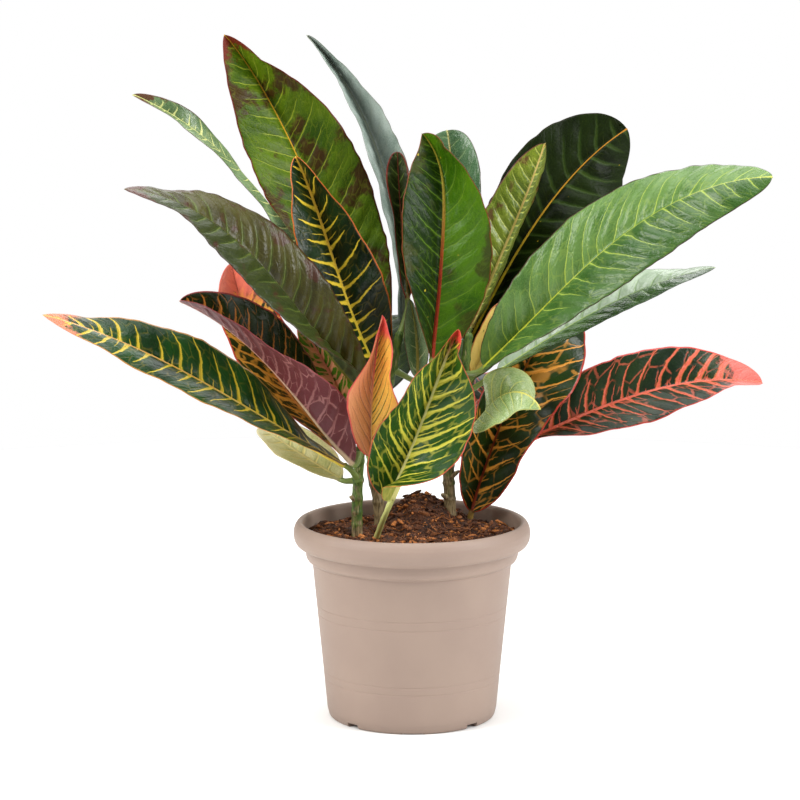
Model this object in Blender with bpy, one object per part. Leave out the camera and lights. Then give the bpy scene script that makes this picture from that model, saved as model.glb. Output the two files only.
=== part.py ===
"""Potted croton: a tapered nursery pot, its soil, three woody stems and their leaves.

Metres, +Z up, pot axis on Z, pot standing on z = 0, front of the plant towards -Y.
Run with: blender --background --python part.py
"""

import bpy
import bmesh
import numpy as np
from mathutils import Matrix, Vector

MM = 0.001

# ---------------------------------------------------------------- pot
POT_HEIGHT = 142.8
RIM_RADIUS = 85.0          # outside of the rolled rim
LIP_RADIUS = 77.6          # inside of the mouth
COLLAR_RADIUS = 77.2       # step below the rim
WALL_TOP_RADIUS = 71.6
WALL_FOOT_RADIUS = 61.2
WALL = 2.0
FOOT_RADIUS = 59.4         # bottom edge, rounded in from the wall
FOOT_RING = 6.0            # width of the ring that the pot stands on
FLOOR_LIFT = 3.6           # the floor sits above the standing ring
FLOOR = 2.2
POT_SEGMENTS = 48
DRAIN_HOLES = 8
DRAIN_RADIUS = 5.0
DRAIN_CIRCLE = 36.0
FOOT_NOTCHES = 4           # water gaps through the standing ring
NOTCH_WIDTH = 10.0
NOTCH_HEIGHT = 3.4

# ---------------------------------------------------------------- soil
GAP = 0.3                  # clearance between pieces that touch
SOIL_LEVEL = 127.0
SOIL_CROWN = 2.5           # soft rise towards the middle
MOUND_CENTRE = (9.0, 45.0)
MOUND_HEIGHT = 24.0
MOUND_SPREAD = (13.0, 17.0)
SOIL_RINGS = 9
SOIL_SEGMENTS = 40

# ---------------------------------------------------------------- stems
# each cutting: the places its centre line passes (mm) and its radius at foot and top
STEMS = {
    "left": dict(way=[(-39, 4, 85), (-39.5, 4, 145), (-38.5, 2, 175), (-36, -5, 200), (-33, -11, 224)], radius=(4.3, 3.2)),
    "middle": dict(way=[(-22, 33, 85), (-24, 32, 145), (-29, 30, 175), (-25, 20, 210), (-15, 12, 245), (-9, 10, 276)], radius=(4.4, 3.0)),
    "right": dict(way=[(30, 37, 85), (28, 36, 145), (27, 35, 178), (31, 26, 212), (37, 14, 246), (40, 8, 276)], radius=(4.8, 3.2)),
}
STEM_SIDES = 12
STEM_STEP = 12.0

# ---------------------------------------------------------------- leaves
PETIOLE_RADIUS = 2.1
BLADE_THICKNESS = 1.2
MIDRIB_THICKNESS = 2.6
BLADE_STATIONS = 9
PETIOLE_STATIONS = 3

# One line per leaf.
#   on        stem it grows from and the height of its node, or the (x, y, z) where a
#             basal leaf leaves the soil
#   petiole   compass heading, rise and length of the leaf stalk
#   heading   compass heading of the midrib at base, middle and tip
#             (0 = front, 90 = right, 180 = back, -90 = left)
#   rise      climb of the midrib at base, middle and tip
#   size      blade length and half width
#   shape     where the blade is widest (share of its length) and how full it is
#   left      how far the left half lifts from level at 1/4, 1/2 and 3/4 of the blade
#   right     the same for the right half
#   curl      how much steeper the margin lies than the middle of the half
def leaf(on, petiole, heading, rise, size, shape, left, right, curl=-12, colour=(0.05, 0.16, 0.03)):
    return dict(on=on, petiole=petiole, heading=heading, rise=rise, size=size, shape=shape,
                left=left, right=right, curl=curl, colour=colour)


LEAVES = {
    # low leaves of the left cutting
    "long_left": leaf(("left", 172), (-29, 35, 23), (-71, -75, -80), (30, 31, 16), (243, 32), (0.45, 0.77), (-10, -20, -25), (40, 60, 45), -14, (0.06, 0.18, 0.03)),
    "folded_purple": leaf(("left", 194), (-24, -33, 15), (-68, -75, -98), (47, 49, 21), (175, 33), (0.50, 0.83), (70, 30, 20), (50, 65, 85), 0, (0.22, 0.08, 0.09)),
    "orange_left": leaf(("left", 186), (-140, 6, 17), (-112, -114, -131), (39, 54, 79), (166, 31), (0.50, 0.77), (5, -5, -10), (65, 80, 90), -10, (0.12, 0.07, 0.02)),
    "lower_left": leaf(("left", 171), (-100, 0, 12), (-125, -128, -130), (20, 22, 20), (83, 20), (0.50, 0.83), (0, 0, 0), (45, 45, 45), 0, (0.05, 0.12, 0.03)),
    "pink_folded": leaf(("left", 204), (14, -17, 32), (81, 119, 155), (89, 86, 69), (101, 26), (0.45, 0.71), (125, 120, 125), (-55, -10, 20), 0, (0.75, 0.16, 0.09)),
    "inner_peach": leaf(("left", 200), (-171, -4, 18), (-113, -115, -119), (66, 61, 50), (94, 26), (0.50, 0.83), (-10, -20, -10), (120, 115, 120), 0, (0.25, 0.22, 0.06)),
    # crown of the middle cutting
    "quilted_left": leaf(("middle", 210), (-8, 38, 35), (-54, -59, -77), (40, 48, 7), (251, 34), (0.50, 0.80), (-20, -45, -35), (105, 85, 45), -16, (0.07, 0.10, 0.02)),
    "narrow_left": leaf(("middle", 240), (-107, 52, 30), (-76, -72, -91), (57, 52, 23), (252, 17), (0.50, 0.83), (-45, -30, -15), (30, 0, 35), 0, (0.05, 0.15, 0.05)),
    "tall_left": leaf(("middle", 252), (-167, 24, 30), (-120, -108, -92), (55, 65, 51), (254, 43), (0.50, 0.71), (-5, -30, -45), (65, 70, 110), -8, (0.08, 0.17, 0.02)),
    "tall_silver": leaf(("middle", 262), (171, 25, 31), (165, 229, 265), (63, 68, 45), (236, 30), (0.50, 0.83), (60, 30, 10), (85, 105, 135), 0, (0.22, 0.30, 0.26)),
    "yellow_ribbed": leaf(("middle", 222), (16, 62, 20), (-77, -88, -114), (58, 72, 65), (176, 34), (0.50, 0.80), (-45, -45, -30), (95, 115, 130), -8, (0.04, 0.06, 0.02)),
    "small_dark": leaf(("middle", 272), (159, 54, 32), (-151, -142, -133), (78, 83, 87), (107, 12), (0.60, 1.00), (30, 30, 5), (80, 95, 90), 0, (0.06, 0.05, 0.02)),
    "inner_pale": leaf(("middle", 250), (76, -16, 19), (171, 202, 228), (82, 75, 71), (57, 15), (0.50, 0.83), (50, 40, 30), (65, 90, 110), 0, (0.18, 0.28, 0.18)),
    # crown of the right cutting
    "centre_green": leaf(("right", 236), (-48, 39, 37), (165, 160, 260), (65, 81, 48), (167, 37), (0.50, 0.74), (85, 60, 15), (-30, 0, 70), -8, (0.06, 0.19, 0.02)),
    "top_grey": leaf(("right", 274), (-165, -2, 55), (175, 173, 228), (62, 77, 76), (149, 34), (0.55, 1.00), (55, 35, -15), (40, 50, 65), -10, (0.10, 0.19, 0.12)),
    "broad_dark": leaf(("right", 246), (173, 30, 35), (131, 110, 104), (54, 54, 31), (201, 46), (0.60, 0.77), (110, 100, 90), (-10, -30, -75), -10, (0.02, 0.04, 0.01)),
    "upright_olive": leaf(("right", 258), (168, 49, 26), (115, 112, 111), (65, 65, 71), (144, 25), (0.50, 0.83), (105, 80, 70), (-145, -150, -145), 0, (0.17, 0.19, 0.04)),
    "light_green_right": leaf(("right", 246), (25, 16, 34), (53, 68, 76), (39, 41, 2), (258, 38), (0.50, 0.91), (105, 75, 45), (-40, -55, -60), -14, (0.13, 0.30, 0.07)),
    "glossy_right": leaf(("right", 228), (48, 32, 42), (83, 80, 82), (34, 29, 12), (173, 28), (0.50, 0.83), (50, 45, 25), (-10, -15, -15), -8, (0.06, 0.15, 0.05)),
    "red_veined": leaf(("right", 196), (109, -16, 42), (96, 95, 92), (23, 18, -10), (200, 33), (0.52, 0.87), (75, 80, 65), (-10, -30, -20), -6, (0.45, 0.07, 0.04)),
    "small_right": leaf(("right", 206), (15, 11, 53), (40, 46, 69), (33, 30, -68), (74, 22), (0.45, 0.91), (70, 85, 0), (-60, -65, -60), 0, (0.20, 0.32, 0.08)),
    "inner_yellow": leaf(("right", 236), (110, 40, 12), (125, 126, 122), (55, 59, 60), (62, 17), (0.50, 0.83), (100, 105, 105), (10, 10, 5), 0, (0.55, 0.42, 0.10)),
    # leaves that rise from the soil
    "orange_veined": leaf((43, 38, 120), (90, 88, 21), (90, 90, 90), (72, 68, 55), (171, 42), (0.60, 1.00), (135, 145, 150), (-40, -45, -80), 0, (0.13, 0.08, 0.02)),
    "front_striped": leaf((-29, 4, 120), (18, 44, 65), (63, 84, 114), (64, 70, 66), (131, 37), (0.42, 1.00), (135, 140, 145), (-50, -90, -50), 0, (0.35, 0.40, 0.05)),
    # leaves on the far side
    "rear_left": leaf(("middle", 230), (-150, 30, 22), (-150, -148, -145), (55, 40, 15), (108, 28), (0.50, 0.80), (20, 22, 20), (20, 22, 20), -14, (0.05, 0.12, 0.03)),
    "rear_centre": leaf(("middle", 220), (175, 30, 18), (172, 174, 178), (52, 38, 18), (82, 27), (0.50, 0.80), (22, 22, 20), (22, 22, 20), -14, (0.03, 0.08, 0.02)),
    "rear_right": leaf(("right", 228), (150, 30, 22), (152, 150, 146), (45, 32, 8), (88, 27), (0.50, 0.80), (20, 22, 20), (20, 22, 20), -14, (0.05, 0.12, 0.03)),
    "rear_low_left": leaf(("middle", 196), (-140, 20, 18), (-140, -136, -132), (32, 18, -8), (82, 25), (0.50, 0.80), (18, 20, 18), (18, 20, 18), -14, (0.12, 0.09, 0.02)),
    "rear_low_right": leaf(("right", 208), (140, 20, 18), (142, 138, 134), (28, 12, -10), (78, 24), (0.50, 0.80), (18, 20, 18), (18, 20, 18), -14, (0.14, 0.08, 0.02)),
}


# ---------------------------------------------------------------- shape rules
def heading_vector(heading, rise):
    """Unit vector for a compass heading and a climb, both in degrees."""
    h, r = np.radians(heading), np.radians(rise)
    return np.stack([np.sin(h) * np.cos(r), -np.cos(h) * np.cos(r), np.sin(r)], -1)


def three_point(values, t, at=(0.0, 0.5, 1.0)):
    """The parabola through three values, read at t."""
    a, b, c = at
    va, vb, vc = values
    return (va * (t - b) * (t - c) / ((a - b) * (a - c))
            + vb * (t - a) * (t - c) / ((b - a) * (b - c))
            + vc * (t - a) * (t - b) / ((c - a) * (c - b)))


def smooth_way(points, step):
    """Points every `step` along the smooth curve through a few places."""
    p = np.asarray(points, float)
    p = np.vstack([2 * p[0] - p[1], p, 2 * p[-1] - p[-2]])
    fine = []
    for i in range(1, len(p) - 2):
        t = np.linspace(0, 1, 30, endpoint=i == len(p) - 3)[:, None]
        a, b, c, d = p[i - 1:i + 3]
        fine.append(b + 0.5 * t * (c - a + t * (2 * a - 5 * b + 4 * c - d + t * (3 * (b - c) + d - a))))
    fine = np.vstack(fine)
    run = np.r_[0, np.cumsum(np.linalg.norm(np.diff(fine, axis=0), axis=1))]
    at = np.linspace(0, run[-1], max(4, int(round(run[-1] / step)) + 1))
    return np.stack([np.interp(at, run, fine[:, k]) for k in range(3)], 1)


def stem_point(name, height):
    way = smooth_way(STEMS[name]["way"], 2.0)
    return np.array([np.interp(height, way[:, 2], way[:, k]) for k in range(3)])


def midrib(spec, samples=120):
    """Leaf base, and the midrib's points and directions from blade base to tip."""
    on = spec["on"]
    start = stem_point(*on) if isinstance(on[0], str) else np.array(on, float)
    heading, rise, length = spec["petiole"]
    base = start + length * heading_vector(heading, rise)
    t = np.linspace(0, 1, samples)
    middle = (t[1:] + t[:-1]) / 2
    step = spec["size"][0] / (samples - 1)
    run = heading_vector(three_point(spec["heading"], middle), three_point(spec["rise"], middle)) * step
    points = np.vstack([base, base + np.cumsum(run, axis=0)])
    direction = heading_vector(three_point(spec["heading"], t), three_point(spec["rise"], t))
    return start, points, direction


def stalk(start, base, leave, arrive, count):
    """Leaf stalk: leaves the stem one way and arrives along the midrib."""
    reach = np.linalg.norm(base - start)
    u = np.linspace(0, 1, count + 1)[:, None]
    a, b = start + leave * reach * 0.45, base - arrive * reach * 0.3
    points = (1 - u) ** 3 * start + 3 * u * (1 - u) ** 2 * a + 3 * u ** 2 * (1 - u) * b + u ** 3 * base
    return points


def half_width(t, spec):
    """Half width of the blade: zero at base and tip, fullest at the stated share."""
    peak, full = spec["shape"]
    p, q = peak / full, (1 - peak) / full
    return spec["size"][1] * (np.clip(t, 0, 1) / peak) ** p * (np.clip(1 - t, 0, 1) / (1 - peak)) ** q


def frame_of(direction):
    """Level right-hand side and upward normal for each direction of travel."""
    up = np.array([0.0, 0.0, 1.0])
    normal = up - (direction @ up)[:, None] * direction
    normal /= np.linalg.norm(normal, axis=1)[:, None]
    return np.cross(direction, normal), normal


def lifts(spec, t):
    at = (0.25, 0.5, 0.75)
    s = np.clip(t, 0.12, 0.88)
    return np.radians(three_point(spec["left"], s, at)), np.radians(three_point(spec["right"], s, at))


def across(spec, t, side, normal, columns):
    """Offsets from the midrib and unit normals over the blade, for each station and column."""
    left, right = lifts(spec, t)
    width = half_width(t, spec)
    curl = np.radians(spec["curl"])
    ridge = (left + right) / 2
    offsets, normals = [], []
    for j in columns:
        sign, lift = (-1, left) if j < 0 else (1, right)
        steps = 12
        q = (np.arange(steps) + 0.5) / steps * abs(j)
        place = np.zeros((len(t), 3))
        for v in q:
            soft = min(1.0, v / 0.16)
            soft = soft * soft * (3 - 2 * soft)
            angle = (lift - ridge) * soft + ridge * soft + curl * (v - 0.5) * soft
            place += (np.cos(angle)[:, None] * side * sign + np.sin(angle)[:, None] * normal) * (width * abs(j) / steps)[:, None]
        angle = lift + curl * (abs(j) - 0.5) if j else (left - right) / 2
        if j:
            face = -sign * np.sin(angle)[:, None] * side + np.cos(angle)[:, None] * normal
        else:
            face = np.sin((left - right) / 2)[:, None] * side + np.cos((left - right) / 2)[:, None] * normal
        offsets.append(place)
        normals.append(face)
    return np.array(offsets), np.array(normals)


# ---------------------------------------------------------------- mesh builders
def new_object(name, mesh, colour, roughness, smooth_angle=None):
    obj = bpy.data.objects.new(name, mesh)
    bpy.context.scene.collection.objects.link(obj)
    material = bpy.data.materials.new(name + "_material")
    material.use_nodes = True
    shader = material.node_tree.nodes["Principled BSDF"]
    shader.inputs["Base Color"].default_value = (*colour, 1)
    shader.inputs["Roughness"].default_value = roughness
    shader.inputs["Metallic"].default_value = 0.0
    material.diffuse_color = (*colour, 1)
    mesh.materials.append(material)
    for polygon in mesh.polygons:
        polygon.use_smooth = True
    if smooth_angle is not None:
        mesh.set_sharp_from_angle(angle=np.radians(smooth_angle))
    return obj


def loft(name, rings):
    """Closed mesh through rings of equal count, capped at both ends."""
    mesh = bpy.data.meshes.new(name)
    bm = bmesh.new()
    rows = [[bm.verts.new(Vector(p) * MM) for p in ring] for ring in rings]
    n = len(rows[0])
    for a, b in zip(rows[:-1], rows[1:]):
        for k in range(n):
            bm.faces.new((a[k], a[(k + 1) % n], b[(k + 1) % n], b[k]))
    bm.faces.new(rows[0][::-1])
    bm.faces.new(rows[-1])
    bmesh.ops.triangulate(bm, faces=bm.faces[:])
    bmesh.ops.recalc_face_normals(bm, faces=bm.faces[:])
    bm.to_mesh(mesh)
    bm.free()
    return mesh


def lathe(name, profile, segments):
    """Closed turned solid; the profile runs from the axis out and back to the axis."""
    mesh = bpy.data.meshes.new(name)
    bm = bmesh.new()
    columns = []
    for k in range(segments):
        a = 2 * np.pi * k / segments
        columns.append([bm.verts.new((r * MM * np.cos(a), r * MM * np.sin(a), z * MM)) for r, z in profile[1:-1]])
    first = bm.verts.new((0, 0, profile[0][1] * MM))
    last = bm.verts.new((0, 0, profile[-1][1] * MM))
    for k in range(segments):
        a, b = columns[k], columns[(k + 1) % segments]
        bm.faces.new((first, a[0], b[0]))
        bm.faces.new((last, b[-1], a[-1]))
        for i in range(len(a) - 1):
            bm.faces.new((a[i], a[i + 1], b[i + 1], b[i]))
    bmesh.ops.recalc_face_normals(bm, faces=bm.faces[:])
    bm.to_mesh(mesh)
    bm.free()
    return mesh


def tube_rings(points, radii, sides):
    """Round sections along a way, kept from twisting."""
    tangent = np.gradient(points, axis=0)
    tangent /= np.linalg.norm(tangent, axis=1)[:, None]
    x = np.cross(tangent[0], (0, 1, 0))
    rings = []
    for p, d, r in zip(points, tangent, radii):
        x = x - (x @ d) * d
        x /= np.linalg.norm(x)
        y = np.cross(d, x)
        a = 2 * np.pi * np.arange(sides) / sides
        rings.append(p + r * (np.cos(a)[:, None] * x + np.sin(a)[:, None] * y))
    return rings


def cutter(name, mesh):
    obj = bpy.data.objects.new(name, mesh)
    bpy.context.scene.collection.objects.link(obj)
    obj.hide_render = True
    obj.display_type = "WIRE"
    return obj


def cut(obj, tool):
    modifier = obj.modifiers.new("cut_" + tool.name, "BOOLEAN")
    modifier.operation = "DIFFERENCE"
    modifier.solver = "EXACT"
    modifier.object = tool


# ---------------------------------------------------------------- the pieces
def build_pot():
    floor_top = FLOOR_LIFT + FLOOR
    inner = FOOT_RADIUS - FOOT_RING
    profile = [
        (0, FLOOR_LIFT), (inner - 0.8, FLOOR_LIFT), (inner, 0),
        (FOOT_RADIUS - 0.6, 0), (FOOT_RADIUS + 0.6, 1.2), (WALL_FOOT_RADIUS, 6),
        (WALL_TOP_RADIUS, 112), (WALL_TOP_RADIUS + 2.4, 115.5), (COLLAR_RADIUS, 121),
        (COLLAR_RADIUS + 1.0, 124.6), (RIM_RADIUS - 3.4, 127.6), (RIM_RADIUS - 0.4, 131), (RIM_RADIUS, 134.5),
        (RIM_RADIUS - 0.6, 138.4), (RIM_RADIUS - 2.4, 141.6), (RIM_RADIUS - 4.6, POT_HEIGHT),
        (LIP_RADIUS + 0.9, 141.8), (LIP_RADIUS, 139.4), (LIP_RADIUS - 0.6, 127),
        (COLLAR_RADIUS - WALL - 0.6, 120), (WALL_TOP_RADIUS - WALL, 112),
        (WALL_FOOT_RADIUS - WALL, floor_top), (0, floor_top),
    ]
    pot = new_object("pot", lathe("pot", profile, POT_SEGMENTS), (0.50, 0.39, 0.33), 0.5, 40)
    mesh = bpy.data.meshes.new("notches")
    bm = bmesh.new()
    for k in range(FOOT_NOTCHES):
        a = 2 * np.pi * (k + 0.5) / FOOT_NOTCHES + 0.004
        place = Matrix.Rotation(a, 4, "Z") @ Matrix.Translation(Vector((FOOT_RADIUS - 2, 0, 0)) * MM)
        size = Matrix.Diagonal((18 * MM, NOTCH_WIDTH * MM, 2 * NOTCH_HEIGHT * MM, 1))
        bmesh.ops.create_cube(bm, size=1, matrix=place @ size)
    bmesh.ops.recalc_face_normals(bm, faces=bm.faces[:])
    bm.to_mesh(mesh)
    bm.free()
    cut(pot, cutter("notches", mesh))
    # the holes sit between the flats of the floor, so no hole edge lies along one
    mesh = bpy.data.meshes.new("drains")
    bm = bmesh.new()
    for k in range(DRAIN_HOLES):
        a = 2 * np.pi * (k / DRAIN_HOLES + 0.31 / POT_SEGMENTS)
        place = Vector((np.cos(a) * DRAIN_CIRCLE, np.sin(a) * DRAIN_CIRCLE, FLOOR_LIFT + FLOOR / 2)) * MM
        bmesh.ops.create_cone(bm, cap_ends=True, segments=11, radius1=DRAIN_RADIUS * MM, radius2=DRAIN_RADIUS * MM,
                              depth=0.012, matrix=Matrix.Translation(place))
    bmesh.ops.recalc_face_normals(bm, faces=bm.faces[:])
    bm.to_mesh(mesh)
    bm.free()
    cut(pot, cutter("drains", mesh))
    return pot


def soil_height(x, y):
    r = np.hypot(x, y)
    mound = np.exp(-((x - MOUND_CENTRE[0]) / MOUND_SPREAD[0]) ** 2 / 2 - ((y - MOUND_CENTRE[1]) / MOUND_SPREAD[1]) ** 2 / 2)
    edge = np.clip((73.0 - r) / 14, 0, 1)
    return SOIL_LEVEL + SOIL_CROWN * (1 - (r / 75) ** 2) + MOUND_HEIGHT * mound * edge


def inner_radius(z):
    """Inside of the pot at a height between its floor and the collar."""
    floor_top = FLOOR_LIFT + FLOOR
    low, high = WALL_FOOT_RADIUS - WALL, WALL_TOP_RADIUS - WALL
    if z <= 112:
        return low + (high - low) * (z - floor_top) / (112 - floor_top)
    if z <= 120:
        return high + (COLLAR_RADIUS - WALL - 0.6 - high) * (z - 112) / 8
    return COLLAR_RADIUS - WALL - 0.6


def build_soil(tools):
    bottom = FLOOR_LIFT + FLOOR + GAP
    clear = GAP + 0.25     # the flats between the pot's segments come in a little
    walls = [bottom, 112, 119.5, 125.5]
    mesh = bpy.data.meshes.new("potting_soil")
    bm = bmesh.new()
    angle = 2 * np.pi * np.arange(SOIL_SEGMENTS) / SOIL_SEGMENTS
    rows = []
    for z in walls:
        r = inner_radius(z) - clear
        rows.append([bm.verts.new((r * np.cos(a) * MM, r * np.sin(a) * MM, z * MM)) for a in angle])
    top_r = inner_radius(125.5) - clear
    for k in range(1, SOIL_RINGS):
        r = top_r * (1 - k / SOIL_RINGS) - (0.6 if k == 1 else 0)
        rows.append([bm.verts.new((r * np.cos(a) * MM, r * np.sin(a) * MM, soil_height(r * np.cos(a), r * np.sin(a)) * MM)) for a in angle])
    for a, b in zip(rows[:-1], rows[1:]):
        for k in range(SOIL_SEGMENTS):
            n = (k + 1) % SOIL_SEGMENTS
            bm.faces.new((a[k], a[n], b[n], b[k]))
    bm.faces.new(rows[0][::-1])
    peak = bm.verts.new((0, 0, soil_height(0.0, 0.0) * MM))
    for k in range(SOIL_SEGMENTS):
        bm.faces.new((rows[-1][k], rows[-1][(k + 1) % SOIL_SEGMENTS], peak))
    bmesh.ops.triangulate(bm, faces=bm.faces[:])
    bmesh.ops.recalc_face_normals(bm, faces=bm.faces[:])
    bm.to_mesh(mesh)
    bm.free()
    soil = new_object("potting_soil", mesh, (0.07, 0.035, 0.018), 0.95, 50)
    for tool in tools:
        cut(soil, tool)
    return soil


def build_stems():
    """Stems, and for each one a slightly larger copy that cuts its socket in soil and leaves."""
    sockets = {}
    for name, spec in STEMS.items():
        way = smooth_way(spec["way"], STEM_STEP)
        share = np.linspace(0, 1, len(way))
        radii = spec["radius"][0] + (spec["radius"][1] - spec["radius"][0]) * share
        tip = way[-1] + (way[-1] - way[-2]) * 0.25
        points = np.vstack([way, tip])
        new_object("stem_" + name, loft("stem_" + name, tube_rings(points, np.r_[radii, radii[-1] * 0.45], STEM_SIDES)), (0.16, 0.20, 0.07), 0.6, 60)
        wide = np.vstack([way[0] - (way[1] - way[0]) * 0.04, way[1:], tip + (way[-1] - way[-2]) * 0.05])
        sockets[name] = cutter("socket_" + name, loft("socket_" + name, tube_rings(wide, np.r_[radii + GAP, radii[-1] * 0.45 + GAP], STEM_SIDES)))
    return sockets


def build_leaf(name, spec, sockets):
    start, rib, direction = midrib(spec)
    pick = np.round(np.r_[0, 0.05, np.linspace(0.14, 1, BLADE_STATIONS - 2)] * (len(rib) - 1)).astype(int)
    t = pick / (len(rib) - 1)
    side, normal = frame_of(direction[pick])
    columns = (-1, -0.5, 0, 0.5, 1)
    offsets, faces = across(spec, t, side, normal, columns)
    angles = np.radians([162, 126, 90, 54, 18, -18, -54, -90, -126, -162])
    rings = []
    stalk_points = stalk(start, rib[0], heading_vector(*spec["petiole"][:2]), direction[0], PETIOLE_STATIONS)
    stalk_dir = np.gradient(stalk_points, axis=0)
    stalk_dir /= np.linalg.norm(stalk_dir, axis=1)[:, None]
    stalk_side, stalk_up = frame_of(stalk_dir)
    # the stalk turns with the blade where they meet
    left, right = lifts(spec, t[:1])
    turn = (right[0] - left[0]) / 2
    for k in range(PETIOLE_STATIONS):
        share = k / PETIOLE_STATIONS
        a = angles + turn * share
        rings.append(stalk_points[k] + PETIOLE_RADIUS * (np.cos(a)[:, None] * stalk_side[k] + np.sin(a)[:, None] * stalk_up[k]))
    for i, s in enumerate(t):
        a = angles + turn
        disc = PETIOLE_RADIUS * (1 - 0.55 * s) * (np.cos(a)[:, None] * side[i] + np.sin(a)[:, None] * normal[i])
        thick = np.array([0.7, 1.0, MIDRIB_THICKNESS / BLADE_THICKNESS, 1.0, 0.7]) * BLADE_THICKNESS / 2 * (1 - 0.35 * s)
        upper = offsets[:, i] + faces[:, i] * np.minimum(thick, BLADE_THICKNESS / 2)[:, None]
        lower = offsets[:, i] - faces[:, i] * thick[:, None]
        band = np.vstack([upper, lower[::-1]])
        reach = half_width(np.array([s]), spec)[0]
        if reach < 1.2:
            band = disc * (0.5 if s > 0.5 else 1.0)
        rings.append(rib[pick[i]] + band)
    obj = new_object("leaf_" + name, loft("leaf_" + name, rings), spec["colour"], 0.35, 40)
    if isinstance(spec["on"][0], str):
        cut(obj, sockets[spec["on"][0]])
        return None
    points = np.vstack([stalk_points[:1] - (stalk_points[1] - stalk_points[0]) * 0.02, stalk_points[1:PETIOLE_STATIONS]])
    return cutter("socket_leaf_" + name, loft("socket_leaf_" + name, tube_rings(points, [PETIOLE_RADIUS + GAP + 0.15] * len(points), 12)))


def main():
    for obj in list(bpy.data.objects):
        bpy.data.objects.remove(obj, do_unlink=True)
    build_pot()
    sockets = build_stems()
    tools = list(sockets.values())
    for name, spec in LEAVES.items():
        made = build_leaf(name, spec, sockets)
        if made:
            tools.append(made)
    build_soil(tools)


main()
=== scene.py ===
"""Potted croton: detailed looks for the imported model. Metres, +Z up, same frame as the CAD."""

import bmesh
import bpy
import numpy as np
from mathutils import Matrix, Vector


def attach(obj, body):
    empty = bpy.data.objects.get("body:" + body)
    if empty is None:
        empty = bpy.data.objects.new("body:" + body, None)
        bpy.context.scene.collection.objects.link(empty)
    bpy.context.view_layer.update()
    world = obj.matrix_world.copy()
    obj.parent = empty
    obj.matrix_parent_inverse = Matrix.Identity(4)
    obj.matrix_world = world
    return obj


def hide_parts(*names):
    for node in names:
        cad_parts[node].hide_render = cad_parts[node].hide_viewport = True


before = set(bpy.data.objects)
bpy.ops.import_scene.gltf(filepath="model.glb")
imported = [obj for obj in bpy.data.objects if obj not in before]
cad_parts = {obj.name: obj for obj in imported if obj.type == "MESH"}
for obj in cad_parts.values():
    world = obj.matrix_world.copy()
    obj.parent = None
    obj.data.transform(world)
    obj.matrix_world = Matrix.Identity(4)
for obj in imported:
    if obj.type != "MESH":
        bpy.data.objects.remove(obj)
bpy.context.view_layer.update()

MM = 0.001
rng = np.random.default_rng(7)

# ---------------------------------------------------------------- stems and leaves, as in the CAD
STEMS = {
    "left": dict(way=[(-39, 4, 85), (-39.5, 4, 145), (-38.5, 2, 175), (-36, -5, 200), (-33, -11, 224)], radius=(4.3, 3.2)),
    "middle": dict(way=[(-22, 33, 85), (-24, 32, 145), (-29, 30, 175), (-25, 20, 210), (-15, 12, 245), (-9, 10, 276)], radius=(4.4, 3.0)),
    "right": dict(way=[(30, 37, 85), (28, 36, 145), (27, 35, 178), (31, 26, 212), (37, 14, 246), (40, 8, 276)], radius=(4.8, 3.2)),
}
PETIOLE_RADIUS = 2.1


def leaf(on, petiole, heading, rise, size, shape, left, right, curl=-12):
    return dict(on=on, petiole=petiole, heading=heading, rise=rise, size=size, shape=shape,
                left=left, right=right, curl=curl)


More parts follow.
